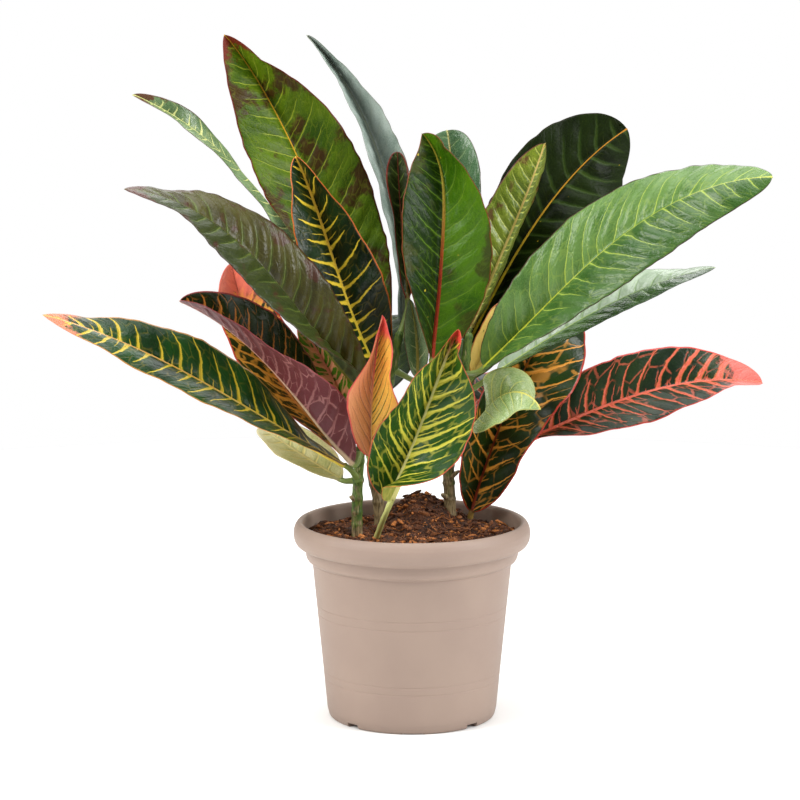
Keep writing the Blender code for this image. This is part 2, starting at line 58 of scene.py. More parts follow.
LEAVES = {
    # low leaves of the left cutting
    "long_left": leaf(("left", 172), (-29, 35, 23), (-71, -75, -80), (30, 31, 16), (243, 32), (0.45, 0.77), (-10, -20, -25), (40, 60, 45), -14),
    "folded_purple": leaf(("left", 194), (-24, -33, 15), (-68, -75, -98), (47, 49, 21), (175, 33), (0.50, 0.83), (70, 30, 20), (50, 65, 85), 0),
    "orange_left": leaf(("left", 186), (-140, 6, 17), (-112, -114, -131), (39, 54, 79), (166, 31), (0.50, 0.77), (5, -5, -10), (65, 80, 90), -10),
    "lower_left": leaf(("left", 171), (-100, 0, 12), (-125, -128, -130), (20, 22, 20), (83, 20), (0.50, 0.83), (0, 0, 0), (45, 45, 45), 0),
    "pink_folded": leaf(("left", 204), (14, -17, 32), (81, 119, 155), (89, 86, 69), (101, 26), (0.45, 0.71), (125, 120, 125), (-55, -10, 20), 0),
    "inner_peach": leaf(("left", 200), (-171, -4, 18), (-113, -115, -119), (66, 61, 50), (94, 26), (0.50, 0.83), (-10, -20, -10), (120, 115, 120), 0),
    # crown of the middle cutting
    "quilted_left": leaf(("middle", 210), (-8, 38, 35), (-54, -59, -77), (40, 48, 7), (251, 34), (0.50, 0.80), (-20, -45, -35), (105, 85, 45), -16),
    "narrow_left": leaf(("middle", 240), (-107, 52, 30), (-76, -72, -91), (57, 52, 23), (252, 17), (0.50, 0.83), (-45, -30, -15), (30, 0, 35), 0),
    "tall_left": leaf(("middle", 252), (-167, 24, 30), (-120, -108, -92), (55, 65, 51), (254, 43), (0.50, 0.71), (-5, -30, -45), (65, 70, 110), -8),
    "tall_silver": leaf(("middle", 262), (171, 25, 31), (165, 229, 265), (63, 68, 45), (236, 30), (0.50, 0.83), (60, 30, 10), (85, 105, 135), 0),
    "yellow_ribbed": leaf(("middle", 222), (16, 62, 20), (-77, -88, -114), (58, 72, 65), (176, 34), (0.50, 0.80), (-45, -45, -30), (95, 115, 130), -8),
    "small_dark": leaf(("middle", 272), (159, 54, 32), (-151, -142, -133), (78, 83, 87), (107, 12), (0.60, 1.00), (30, 30, 5), (80, 95, 90), 0),
    "inner_pale": leaf(("middle", 250), (76, -16, 19), (171, 202, 228), (82, 75, 71), (57, 15), (0.50, 0.83), (50, 40, 30), (65, 90, 110), 0),
    # crown of the right cutting
    "centre_green": leaf(("right", 236), (-48, 39, 37), (165, 160, 260), (65, 81, 48), (167, 37), (0.50, 0.74), (85, 60, 15), (-30, 0, 70), -8),
    "top_grey": leaf(("right", 274), (-165, -2, 55), (175, 173, 228), (62, 77, 76), (149, 34), (0.55, 1.00), (55, 35, -15), (40, 50, 65), -10),
    "broad_dark": leaf(("right", 246), (173, 30, 35), (131, 110, 104), (54, 54, 31), (201, 46), (0.60, 0.77), (110, 100, 90), (-10, -30, -75), -10),
    "upright_olive": leaf(("right", 258), (168, 49, 26), (115, 112, 111), (65, 65, 71), (144, 25), (0.50, 0.83), (105, 80, 70), (-145, -150, -145), 0),
    "light_green_right": leaf(("right", 246), (25, 16, 34), (53, 68, 76), (39, 41, 2), (258, 38), (0.50, 0.91), (105, 75, 45), (-40, -55, -60), -14),
    "glossy_right": leaf(("right", 228), (48, 32, 42), (83, 80, 82), (34, 29, 12), (173, 28), (0.50, 0.83), (50, 45, 25), (-10, -15, -15), -8),
    "red_veined": leaf(("right", 196), (109, -16, 42), (96, 95, 92), (23, 18, -10), (200, 33), (0.52, 0.87), (75, 80, 65), (-10, -30, -20), -6),
    "small_right": leaf(("right", 206), (15, 11, 53), (40, 46, 69), (33, 30, -68), (74, 22), (0.45, 0.91), (70, 85, 0), (-60, -65, -60), 0),
    "inner_yellow": leaf(("right", 236), (110, 40, 12), (125, 126, 122), (55, 59, 60), (62, 17), (0.50, 0.83), (100, 105, 105), (10, 10, 5), 0),
    # leaves that rise from the soil
    "orange_veined": leaf((43, 38, 120), (90, 88, 21), (90, 90, 90), (72, 68, 55), (171, 42), (0.60, 1.00), (135, 145, 150), (-40, -45, -80), 0),
    "front_striped": leaf((-29, 4, 120), (18, 44, 65), (63, 84, 114), (64, 70, 66), (131, 37), (0.42, 1.00), (135, 140, 145), (-50, -90, -50), 0),
    # leaves on the far side
    "rear_left": leaf(("middle", 230), (-150, 30, 22), (-150, -148, -145), (55, 40, 15), (108, 28), (0.50, 0.80), (20, 22, 20), (20, 22, 20), -14),
    "rear_centre": leaf(("middle", 220), (175, 30, 18), (172, 174, 178), (52, 38, 18), (82, 27), (0.50, 0.80), (22, 22, 20), (22, 22, 20), -14),
    "rear_right": leaf(("right", 228), (150, 30, 22), (152, 150, 146), (45, 32, 8), (88, 27), (0.50, 0.80), (20, 22, 20), (20, 22, 20), -14),
    "rear_low_left": leaf(("middle", 196), (-140, 20, 18), (-140, -136, -132), (32, 18, -8), (82, 25), (0.50, 0.80), (18, 20, 18), (18, 20, 18), -14),
    "rear_low_right": leaf(("right", 208), (140, 20, 18), (142, 138, 134), (28, 12, -10), (78, 24), (0.50, 0.80), (18, 20, 18), (18, 20, 18), -14),
}


def heading_vector(heading, rise):
    """Unit vector for a compass heading and a climb, both in degrees."""
    h, r = np.radians(heading), np.radians(rise)
    return np.stack([np.sin(h) * np.cos(r), -np.cos(h) * np.cos(r), np.sin(r)], -1)


def three_point(values, t, at=(0.0, 0.5, 1.0)):
    """The parabola through three values, read at t."""
    a, b, c = at
    va, vb, vc = values
    return (va * (t - b) * (t - c) / ((a - b) * (a - c))
            + vb * (t - a) * (t - c) / ((b - a) * (b - c))
            + vc * (t - a) * (t - b) / ((c - a) * (c - b)))


def smooth_way(points, step):
    """Points every `step` along the smooth curve through a few places."""
    p = np.asarray(points, float)
    p = np.vstack([2 * p[0] - p[1], p, 2 * p[-1] - p[-2]])
    fine = []
    for i in range(1, len(p) - 2):
        t = np.linspace(0, 1, 30, endpoint=i == len(p) - 3)[:, None]
        a, b, c, d = p[i - 1:i + 3]
        fine.append(b + 0.5 * t * (c - a + t * (2 * a - 5 * b + 4 * c - d + t * (3 * (b - c) + d - a))))
    fine = np.vstack(fine)
    run = np.r_[0, np.cumsum(np.linalg.norm(np.diff(fine, axis=0), axis=1))]
    at = np.linspace(0, run[-1], max(4, int(round(run[-1] / step)) + 1))
    return np.stack([np.interp(at, run, fine[:, k]) for k in range(3)], 1)


def stem_point(name, height):
    way = smooth_way(STEMS[name]["way"], 2.0)
    return np.array([np.interp(height, way[:, 2], way[:, k]) for k in range(3)])


def midrib(spec, samples=120):
    """Leaf base, and the midrib's points and directions from blade base to tip."""
    on = spec["on"]
    start = stem_point(*on) if isinstance(on[0], str) else np.array(on, float)
    heading, rise, length = spec["petiole"]
    base = start + length * heading_vector(heading, rise)
    t = np.linspace(0, 1, samples)
    middle = (t[1:] + t[:-1]) / 2
    step = spec["size"][0] / (samples - 1)
    run = heading_vector(three_point(spec["heading"], middle), three_point(spec["rise"], middle)) * step
    points = np.vstack([base, base + np.cumsum(run, axis=0)])
    direction = heading_vector(three_point(spec["heading"], t), three_point(spec["rise"], t))
    return start, points, direction


def stalk(start, base, leave, arrive, count):
    """Leaf stalk: leaves the stem one way and arrives along the midrib."""
    reach = np.linalg.norm(base - start)
    u = np.linspace(0, 1, count + 1)[:, None]
    a, b = start + leave * reach * 0.45, base - arrive * reach * 0.3
    points = (1 - u) ** 3 * start + 3 * u * (1 - u) ** 2 * a + 3 * u ** 2 * (1 - u) * b + u ** 3 * base
    return points


def half_width(t, spec):
    """Half width of the blade: zero at base and tip, fullest at the stated share."""
    peak, full = spec["shape"]
    p, q = peak / full, (1 - peak) / full
    return spec["size"][1] * (np.clip(t, 0, 1) / peak) ** p * (np.clip(1 - t, 0, 1) / (1 - peak)) ** q


def frame_of(direction):
    """Level right-hand side and upward normal for each direction of travel."""
    up = np.array([0.0, 0.0, 1.0])
    normal = up - (direction @ up)[:, None] * direction
    normal /= np.linalg.norm(normal, axis=1)[:, None]
    return np.cross(direction, normal), normal


def lifts(spec, t):
    at = (0.25, 0.5, 0.75)
    s = np.clip(t, 0.12, 0.88)
    return np.radians(three_point(spec["left"], s, at)), np.radians(three_point(spec["right"], s, at))


def across(spec, t, side, normal, columns):
    """Offsets from the midrib and unit normals over the blade, for each station and column."""
    left, right = lifts(spec, t)
    width = half_width(t, spec)
    curl = np.radians(spec["curl"])
    ridge = (left + right) / 2
    offsets, normals = [], []
    for j in columns:
        sign, lift = (-1, left) if j < 0 else (1, right)
        steps = 12
        q = (np.arange(steps) + 0.5) / steps * abs(j)
        place = np.zeros((len(t), 3))
        for v in q:
            soft = min(1.0, v / 0.16)
            soft = soft * soft * (3 - 2 * soft)
            angle = (lift - ridge) * soft + ridge * soft + curl * (v - 0.5) * soft
            place += (np.cos(angle)[:, None] * side * sign + np.sin(angle)[:, None] * normal) * (width * abs(j) / steps)[:, None]
        angle = lift + curl * (abs(j) - 0.5) if j else (left - right) / 2
        if j:
            face = -sign * np.sin(angle)[:, None] * side + np.cos(angle)[:, None] * normal
        else:
            face = np.sin((left - right) / 2)[:, None] * side + np.cos((left - right) / 2)[:, None] * normal
        offsets.append(place)
        normals.append(face)
    return np.array(offsets), np.array(normals)




# ---------------------------------------------------------------- small tools
def rgb(r, g, b):
    """Linear colour from display values 0 to 255."""
    c = np.array([r, g, b], float) / 255
    c = np.where(c <= 0.04045, c / 12.92, ((c + 0.055) / 1.055) ** 2.4)
    return (float(c[0]), float(c[1]), float(c[2]), 1.0)


def lattice(ix, iy, iz, seed):
    h = (ix * 374761393 + iy * 668265263 + iz * 2147483647 + seed * 974711) & 0x7FFFFFFF
    h = ((h ^ (h >> 13)) * 1274126177) & 0x7FFFFFFF
    return ((h ^ (h >> 16)) & 0xFFFF) / 65535.0


def value_noise(x, y, z=0.0, seed=0):
    """Smooth noise from 0 to 1."""
    x, y, z = np.broadcast_arrays(np.asarray(x, float), np.asarray(y, float), np.asarray(z, float))
    i = [np.floor(a).astype(np.int64) for a in (x, y, z)]
    f = [a - b for a, b in zip((x, y, z), i)]
    f = [a * a * (3 - 2 * a) for a in f]
    out = 0
    for dx in (0, 1):
        for dy in (0, 1):
            for dz in (0, 1):
                w = (f[0] if dx else 1 - f[0]) * (f[1] if dy else 1 - f[1]) * (f[2] if dz else 1 - f[2])
                out = out + w * lattice(i[0] + dx, i[1] + dy, i[2] + dz, seed)
    return out


def smooth(a, lo, hi):
    s = np.clip((a - lo) / (hi - lo), 0, 1)
    return s * s * (3 - 2 * s)


def grid_mesh(name, verts, faces, attributes=None):
    mesh = bpy.data.meshes.new(name)
    mesh.vertices.add(len(verts))
    mesh.vertices.foreach_set("co", np.asarray(verts, np.float32).ravel())
    faces = np.asarray(faces, np.int32)
    n = faces.shape[1]
    mesh.loops.add(faces.size)
    mesh.loops.foreach_set("vertex_index", faces.ravel())
    mesh.polygons.add(len(faces))
    mesh.polygons.foreach_set("loop_start", np.arange(len(faces), dtype=np.int32) * n)
    mesh.polygons.foreach_set("loop_total", np.full(len(faces), n, np.int32))
    mesh.polygons.foreach_set("use_smooth", np.ones(len(faces), bool))
    mesh.update(calc_edges=True)
    for key, value in (attributes or {}).items():
        value = np.asarray(value, np.float32)
        kind = "FLOAT" if value.ndim == 1 else "FLOAT_VECTOR"
        layer = mesh.attributes.new(key, kind, "POINT")
        layer.data.foreach_set("value" if kind == "FLOAT" else "vector", value.ravel())
    mesh.validate()
    return mesh


def add_piece(name, mesh, material, node=None):
    obj = bpy.data.objects.new(name, mesh)
    bpy.context.scene.collection.objects.link(obj)
    mesh.materials.append(material)
    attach(obj, "root")
    if node:
        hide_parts(node)
    return obj


class Nodes:
    """A material with short names for the nodes it is built from."""

    def __init__(self, name):
        self.mat = bpy.data.materials.new(name)
        self.mat.use_nodes = True
        self.tree = self.mat.node_tree
        self.tree.nodes.clear()
        self.out = self.tree.nodes.new("ShaderNodeOutputMaterial")
        self.bsdf = self.tree.nodes.new("ShaderNodeBsdfPrincipled")
        self.tree.links.new(self.bsdf.outputs[0], self.out.inputs[0])

    def put(self, socket, value):
        if isinstance(value, bpy.types.NodeSocket):
            self.tree.links.new(value, socket)
        else:
            socket.default_value = value

    def math(self, op, a, b=0.0, c=0.0, clamp=False):
        n = self.tree.nodes.new("ShaderNodeMath")
        n.operation, n.use_clamp = op, clamp
        for k, v in enumerate((a, b, c)):
            self.put(n.inputs[k], v)
        return n.outputs[0]

    def step(self, a, lo, hi):
        n = self.tree.nodes.new("ShaderNodeMapRange")
        n.interpolation_type = "SMOOTHSTEP"
        self.put(n.inputs[0], a)
        self.put(n.inputs[1], lo)
        self.put(n.inputs[2], hi)
        return n.outputs[0]

    def mix(self, share, a, b):
        n = self.tree.nodes.new("ShaderNodeMix")
        n.data_type = "RGBA"
        self.put(n.inputs[0], share)
        self.put(n.inputs[6], a)
        self.put(n.inputs[7], b)
        return n.outputs[2]

    def multiply(self, a, b):
        n = self.tree.nodes.new("ShaderNodeMix")
        n.data_type, n.blend_type = "RGBA", "MULTIPLY"
        n.inputs[0].default_value = 1.0
        self.put(n.inputs[6], a)
        self.put(n.inputs[7], b)
        return n.outputs[2]

    def grey(self, value):
        return self.join(value, value, value)

    def noise(self, place, scale, detail=2.0, rough=0.5):
        n = self.tree.nodes.new("ShaderNodeTexNoise")
        self.put(n.inputs["Vector"], place)
        n.inputs["Scale"].default_value = scale
        n.inputs["Detail"].default_value = detail
        n.inputs["Roughness"].default_value = rough
        return n.outputs[0]

    def cells(self, place, scale, feature="DISTANCE_TO_EDGE"):
        n = self.tree.nodes.new("ShaderNodeTexVoronoi")
        n.feature = feature
        self.put(n.inputs["Vector"], place)
        n.inputs["Scale"].default_value = scale
        return n

    def attribute(self, name):
        n = self.tree.nodes.new("ShaderNodeAttribute")
        n.attribute_name = name
        return n

    def split(self, vector):
        n = self.tree.nodes.new("ShaderNodeSeparateXYZ")
        self.put(n.inputs[0], vector)
        return n.outputs[0], n.outputs[1], n.outputs[2]

    def join(self, x, y, z):
        n = self.tree.nodes.new("ShaderNodeCombineXYZ")
        for k, v in enumerate((x, y, z)):
            self.put(n.inputs[k], v)
        return n.outputs[0]

    def bump(self, height, distance, strength=1.0, normal=None):
        n = self.tree.nodes.new("ShaderNodeBump")
        n.inputs["Strength"].default_value = strength
        n.inputs["Distance"].default_value = distance
        self.put(n.inputs["Height"], height)
        if normal is not None:
            self.put(n.inputs["Normal"], normal)
        return n.outputs[0]


# ---------------------------------------------------------------- leaf looks
# spacing     distance between side veins along the midrib, mm
# forward     how far a side vein runs forward for each mm outwards, and how much more near the margin
# vein        (colour, width at the midrib in mm, share of the half width it reaches, strength)
# net         (mesh size in mm, line width in mm, strength): fine veins between the side veins
# rib         (colour at the base, colour at the tip, width in mm)
# base        (dark, middle) greens that the blade mottles between, and how far it leans to the dark
# halo        (colour, width in mm, strength) beside the side veins
# patch       (colour, size in mm, threshold): large stains
# margin      (colour, width in mm)
# tip         (colour, share of the length where it starts, where it is full)
# half        (side, colour, strength): a different tone on one half; on some leaves it is painted shade or painted sheen, noted at their entries
# under       (colour, vein colour, vein strength)
# quilt, wave depth of the pillows between veins, and of the wavy margin, mm
PLAIN = dict(
    spacing=12.3, forward=(0.40, 0.35), vein=(rgb(120, 138, 62), 0.7, 0.9, 0.8), net=(5.0, 0.35, 0.18),
    rib=(rgb(190, 176, 82), rgb(150, 150, 64), 2.2), base=(rgb(40, 62, 24), rgb(74, 104, 40), 0.5),
    halo=(rgb(80, 112, 46), 2.2, 0.4), patch=None, margin=(rgb(92, 54, 34), 0.5), tip=None, half=None,
    under=(rgb(120, 140, 96), rgb(160, 172, 120), 0.5), stalk=rgb(140, 160, 84), spots=None,
    ragged=1.6, rough=0.34, quilt=0.8, wave=1.0, wander=4.0, root=0.0, flare=None, spec=0.26, cover=None, rib_change=(0.15, 0.75),
)


def look(**changes):
    made = dict(PLAIN)
    made.update(changes)
    return made


LOOKS = {
    "long_left": look(spacing=15.5, forward=(0.34, 0.35), vein=(rgb(238, 206, 58), 2.6, 0.95, 1.0), root=1.6, rib=(rgb(240, 214, 80), rgb(244, 180, 90), 4.2),
                      base=(rgb(10, 44, 14), rgb(30, 78, 24), 0.45), halo=(rgb(96, 132, 30), 1.6, 0.7), net=(7.0, 0.5, 0.10),
                      margin=(rgb(216, 150, 70), 0.9), tip=(rgb(240, 140, 104), 0.93, 0.97), under=(rgb(206, 204, 150), rgb(238, 226, 160), 0.6),
                      flare=(0.72, 1.0, 2.6), ragged=2.2, rough=0.28, spec=0.3, quilt=0.9, wave=1.2),
    "folded_purple": look(spacing=12, vein=(rgb(240, 150, 66), 2.6, 0.95, 1.0), rib=(rgb(236, 206, 170), rgb(232, 170, 150), 2.4),
                          base=(rgb(26, 36, 14), rgb(44, 60, 20), 0.5), halo=(rgb(120, 66, 30), 1.4, 0.6), margin=(rgb(176, 70, 70), 0.9), net=(8.5, 0.3, 0.45),
                          under=(rgb(124, 50, 62), rgb(240, 170, 164), 0.5), ragged=2.6, rough=0.26, spec=0.4, quilt=1.2),
    "orange_left": look(spacing=12, vein=(rgb(255, 178, 72), 4.6, 0.98, 1.0), rib=(rgb(244, 166, 84), rgb(240, 120, 96), 3.0), root=1.5,
                        base=(rgb(22, 36, 10), rgb(44, 62, 18), 0.5), halo=(rgb(130, 76, 26), 1.2, 0.6), net=(8.0, 1.4, 0.9),
                        margin=(rgb(224, 84, 62), 1.4), tip=(rgb(246, 126, 106), 0.82, 0.9), flare=(0.5, 0.95, 4.0), ragged=3.4, rough=0.32),
    "lower_left": look(base=(rgb(190, 196, 120), rgb(232, 228, 170), 0.44), margin=(rgb(236, 226, 170), 1.6), vein=(rgb(234, 222, 140), 2.0, 0.95, 1.0),
                       rib=(rgb(236, 226, 150), rgb(232, 220, 150), 2.4), rough=0.3),
    "pink_folded": look(spacing=9.5, forward=(1.5, 0.2), vein=(rgb(70, 84, 26), 1.5, 1.1, 0.9), rib=(rgb(244, 200, 120), rgb(240, 104, 88), 1.8),
                        base=(rgb(246, 164, 74), rgb(250, 200, 84), 0.5), halo=(rgb(250, 206, 84), 1.6, 0.8), net=(6.0, 0.6, 0.0), cover=(-1, rgb(246, 150, 136), 0.62),
                        margin=(rgb(232, 92, 84), 1.2), tip=(rgb(240, 96, 88), 0.84, 0.92), spots=(rgb(70, 60, 30), 6, 0.5),
                        under=(rgb(244, 150, 130), rgb(250, 200, 160), 0.5), ragged=2.6, quilt=1.0, wave=3.2, rough=0.34),
    "inner_peach": look(spacing=13, vein=(rgb(250, 168, 124), 4.2, 1.0, 1.0), rib=(rgb(250, 180, 130), rgb(244, 150, 120), 3.0), root=2.0,
                        base=(rgb(50, 100, 14), rgb(96, 150, 30), 0.5), margin=(rgb(236, 120, 90), 1.0), net=(8.0, 1.0, 0.7), ragged=2.6),
    "quilted_left": look(spacing=14, forward=(0.5, 0.4), vein=(rgb(104, 116, 44), 0.8, 0.95, 0.8), rib=(rgb(150, 154, 62), rgb(112, 100, 46), 2.2),
                         base=(rgb(44, 40, 12), rgb(78, 74, 20), 0.42), half=(-1, rgb(40, 58, 16), 0.75), patch=(rgb(76, 40, 28), 22, 0.62),
                         margin=(rgb(70, 36, 28), 0.6), rough=0.3, spec=0.3, quilt=2.3, wave=0.8, tip=(rgb(90, 50, 40), 0.96, 0.99), net=(5.5, 0.4, 0.12)),
    "narrow_left": look(spacing=11, vein=(rgb(226, 230, 150), 1.2, 0.95, 0.95), rib=(rgb(232, 230, 150), rgb(206, 208, 130), 2.2),
                        base=(rgb(76, 106, 60), rgb(132, 158, 112), 0.48), margin=(rgb(84, 56, 38), 0.6), tip=(rgb(100, 60, 40), 0.96, 0.99), rough=0.26, spec=0.4),
    "tall_left": look(spacing=14.5, forward=(0.42, 0.35), vein=(rgb(158, 172, 46), 0.9, 0.95, 0.9), rib=(rgb(224, 204, 62), rgb(232, 176, 54), 2.6),
                      base=(rgb(50, 80, 6), rgb(96, 124, 14), 0.46), patch=(rgb(70, 34, 18), 24, 0.56), margin=(rgb(110, 32, 28), 0.9),
                      tip=(rgb(120, 40, 28), 0.95, 0.99), rough=0.36, spec=0.15, quilt=1.6, wave=0.9, net=(5.5, 0.35, 0.16), spots=(rgb(214, 196, 60), 20, 0.7)),
    # tall_silver: the pale silvery base and halo colours are partly the leaf's grey-green and partly painted reflection
    # of its strong sheen
    "tall_silver": look(spacing=14, vein=(rgb(206, 214, 196), 0.7, 0.9, 0.6), rib=(rgb(196, 204, 176), rgb(180, 190, 166), 1.8),
                        base=(rgb(140, 160, 148), rgb(200, 212, 204), 0.46), halo=(rgb(186, 200, 188), 2.0, 0.4), margin=(rgb(96, 100, 76), 0.5),
                        rough=0.2, spec=0.5, quilt=1.0),
    "yellow_ribbed": look(spacing=14.5, forward=(0.34, 0.2), vein=(rgb(244, 210, 62), 2.3, 0.92, 1.0), root=1.8, rib=(rgb(246, 216, 70), rgb(244, 196, 70), 4.6),
                          base=(rgb(10, 26, 10), rgb(26, 52, 18), 0.5), halo=(rgb(110, 124, 28), 1.2, 0.6), margin=(rgb(214, 110, 44), 0.9),
                          rough=0.28, spec=0.28, quilt=1.0, net=(7.0, 0.4, 0.06), spots=(rgb(220, 196, 70), 15, 0.9), ragged=1.8),
    "small_dark": look(base=(rgb(30, 40, 10), rgb(50, 64, 18), 0.5), margin=(rgb(130, 44, 30), 1.0), rib=(rgb(130, 110, 50), rgb(120, 60, 40), 1.4)),
    "inner_pale": look(base=(rgb(110, 140, 96), rgb(160, 178, 140), 0.5), vein=(rgb(214, 222, 170), 1.0, 0.9, 0.9), rough=0.26, spec=0.45),
    # centre_green: the dark tone on the left half (half) is painted shade, for the half that lies in shadow
    "centre_green": look(spacing=13.5, forward=(0.5, 0.3), vein=(rgb(112, 150, 30), 0.7, 0.95, 0.7), rib=(rgb(176, 60, 34), rgb(176, 160, 54), 2.3), rib_change=(0.35, 0.8),
                         base=(rgb(44, 86, 4), rgb(80, 124, 10), 0.45), half=(-1, rgb(20, 42, 5), 0.92), spots=(rgb(232, 206, 60), 17, 1.4),
                         margin=(rgb(130, 62, 34), 0.6), rough=0.34, spec=0.16, quilt=1.4, patch=(rgb(64, 70, 18), 30, 0.62), wave=0.8),
    "top_grey": look(spacing=13.5, vein=(rgb(150, 176, 124), 0.7, 0.9, 0.7), rib=(rgb(222, 212, 120), rgb(206, 200, 120), 2.2),
                     base=(rgb(60, 100, 58), rgb(116, 150, 110), 0.5), margin=(rgb(80, 60, 44), 0.5), rough=0.24, spec=0.4, quilt=1.2),
    "broad_dark": look(spacing=15, forward=(0.36, 0.35), vein=(rgb(58, 68, 18), 0.7, 0.92, 0.45), rib=(rgb(226, 196, 54), rgb(206, 140, 50), 2.8), rib_change=(0.1, 0.9),
                       base=(rgb(10, 18, 3), rgb(28, 42, 8), 0.45), margin=(rgb(44, 34, 16), 0.5), spots=(rgb(206, 174, 50), 14, 0.9),
                       rough=0.38, spec=0.08, quilt=1.5, wave=1.6, net=(6.0, 0.35, 0.10)),
    # upright_olive: the pale grey tone on the right half (half) is painted sheen, a grazing reflection
    "upright_olive": look(spacing=10, forward=(0.5, 0.3), vein=(rgb(206, 212, 96), 0.9, 0.95, 0.8), rib=(rgb(222, 200, 110), rgb(206, 176, 90), 2.4),
                          base=(rgb(84, 106, 16), rgb(136, 152, 40), 0.5), patch=(rgb(92, 54, 30), 16, 0.60), half=(1, rgb(120, 132, 70), 0.5),
                          under=(rgb(140, 144, 96), rgb(180, 180, 120), 0.6), margin=(rgb(110, 54, 36), 0.7), quilt=2.2, rough=0.28, spec=0.35),
    # light_green_right: the dark tone on the drooping right half (half) is painted shade from the fold
    "light_green_right": look(spacing=16, forward=(0.5, 0.45), vein=(rgb(184, 206, 84), 0.9, 0.96, 0.8), rib=(rgb(226, 230, 70), rgb(204, 212, 76), 3.2),
                              base=(rgb(58, 102, 30), rgb(108, 146, 72), 0.44), half=(1, rgb(38, 80, 18), 0.6), halo=(rgb(120, 156, 76), 2.6, 0.4), margin=(rgb(70, 48, 36), 0.6),
                              rough=0.28, spec=0.32, quilt=2.4, wave=0.8, net=(5.5, 0.35, 0.16), spots=(rgb(214, 214, 110), 26, 0.7)),
    # glossy_right: the pale tone on the left half (half) is a painted reflection, the glossy light strip
    "glossy_right": look(spacing=13, vein=(rgb(150, 180, 120), 0.7, 0.9, 0.7), rib=(rgb(176, 196, 110), rgb(150, 176, 100), 2.0),
                         base=(rgb(34, 72, 20), rgb(70, 112, 44), 0.5), half=(-1, rgb(176, 194, 168), 0.85), margin=(rgb(54, 56, 34), 0.5), rough=0.18, spec=0.5, quilt=1.0, wave=0.6),
    "red_veined": look(spacing=14.5, forward=(0.42, 0.3), vein=(rgb(238, 110, 82), 2.1, 1.0, 1.0), root=1.6, rib=(rgb(244, 110, 80), rgb(246, 120, 96), 4.6),
                       base=(rgb(14, 36, 14), rgb(38, 58, 24), 0.5), halo=(rgb(210, 130, 50), 0.9, 0.8), net=(11.0, 0.7, 0.5), spots=(rgb(232, 170, 60), 9, 0.8),
                       margin=(rgb(226, 80, 72), 0.9), tip=(rgb(244, 116, 104), 0.88, 0.94), flare=(0.58, 0.92, 3.6), ragged=2.8, rough=0.28, spec=0.3, quilt=1.2, wave=1.2),
    "small_right": look(spacing=9.5, vein=(rgb(214, 222, 120), 1.2, 0.95, 0.8), rib=(rgb(246, 240, 124), rgb(234, 226, 110), 3.2),
                        base=(rgb(140, 172, 96), rgb(186, 204, 148), 0.46), margin=(rgb(196, 200, 110), 0.8), quilt=1.0, rough=0.24, spec=0.45),
    "inner_yellow": look(spacing=9, vein=(rgb(248, 222, 120), 2.4, 1.0, 0.9), base=(rgb(226, 180, 80), rgb(246, 214, 120), 0.4),
                         spots=(rgb(60, 64, 20), 7, 1.8), halo=(rgb(246, 214, 120), 1.5, 0.6), rib=(rgb(250, 220, 130), rgb(246, 214, 120), 1.6),
                         margin=(rgb(206, 120, 60), 0.8)),
    "orange_veined": look(spacing=15.5, forward=(0.45, 0.3), vein=(rgb(250, 168, 66), 2.7, 1.0, 1.0), root=1.0, rib=(rgb(160, 66, 40), rgb(240, 150, 72), 3.0), rib_change=(0.3, 0.75),
                          base=(rgb(16, 36, 8), rgb(40, 64, 16), 0.5), halo=(rgb(100, 96, 24), 1.4, 0.6), net=(12.0, 0.8, 0.5),
                          margin=(rgb(196, 60, 44), 1.2), ragged=2.8, rough=0.28, spec=0.28, quilt=1.4, wave=1.6, stalk=rgb(150, 120, 60)),
    "front_striped": look(spacing=11.0, forward=(0.75, 0.25), vein=(rgb(226, 216, 78), 3.0, 1.05, 1.0), root=3.4, rib=(rgb(252, 246, 160), rgb(214, 84, 54), 4.8), rib_change=(0.78, 0.97),
                          base=(rgb(24, 62, 8), rgb(48, 92, 16), 0.5), halo=(rgb(140, 164, 44), 1.0, 0.8), net=(7.0, 0.8, 0.35),
                          margin=(rgb(214, 90, 60), 0.7), tip=(rgb(224, 72, 60), 0.945, 0.98), ragged=2.6, quilt=1.0, wave=1.8,
                          under=(rgb(190, 196, 90), rgb(230, 220, 110), 0.7), stalk=rgb(224, 228, 140)),
    "rear_left": look(vein=(rgb(236, 204, 62), 2.2, 0.9, 1.0), rib=(rgb(238, 206, 74), rgb(226, 170, 70), 3.4), spacing=13.5),
    "rear_centre": look(base=(rgb(22, 42, 10), rgb(46, 72, 20), 0.5), vein=(rgb(100, 116, 40), 0.9, 0.9, 0.8)),
    "rear_right": look(base=(rgb(58, 100, 26), rgb(100, 142, 56), 0.5), quilt=1.6),
    "rear_low_left": look(vein=(rgb(246, 152, 62), 2.8, 0.95, 1.0), base=(rgb(22, 36, 10), rgb(46, 62, 20), 0.5), net=(8.0, 0.9, 0.75),
                          rib=(rgb(240, 144, 74), rgb(240, 120, 90), 3.0), margin=(rgb(214, 84, 60), 1.2), ragged=2.8, spacing=13),
    "rear_low_right": look(vein=(rgb(242, 108, 74), 2.6, 0.95, 1.0), base=(rgb(20, 38, 14), rgb(44, 60, 24), 0.5), net=(8.0, 0.8, 0.75),
                           rib=(rgb(240, 108, 76), rgb(244, 116, 92), 3.2), margin=(rgb(226, 84, 66), 1.4), ragged=2.6, spacing=13),
}


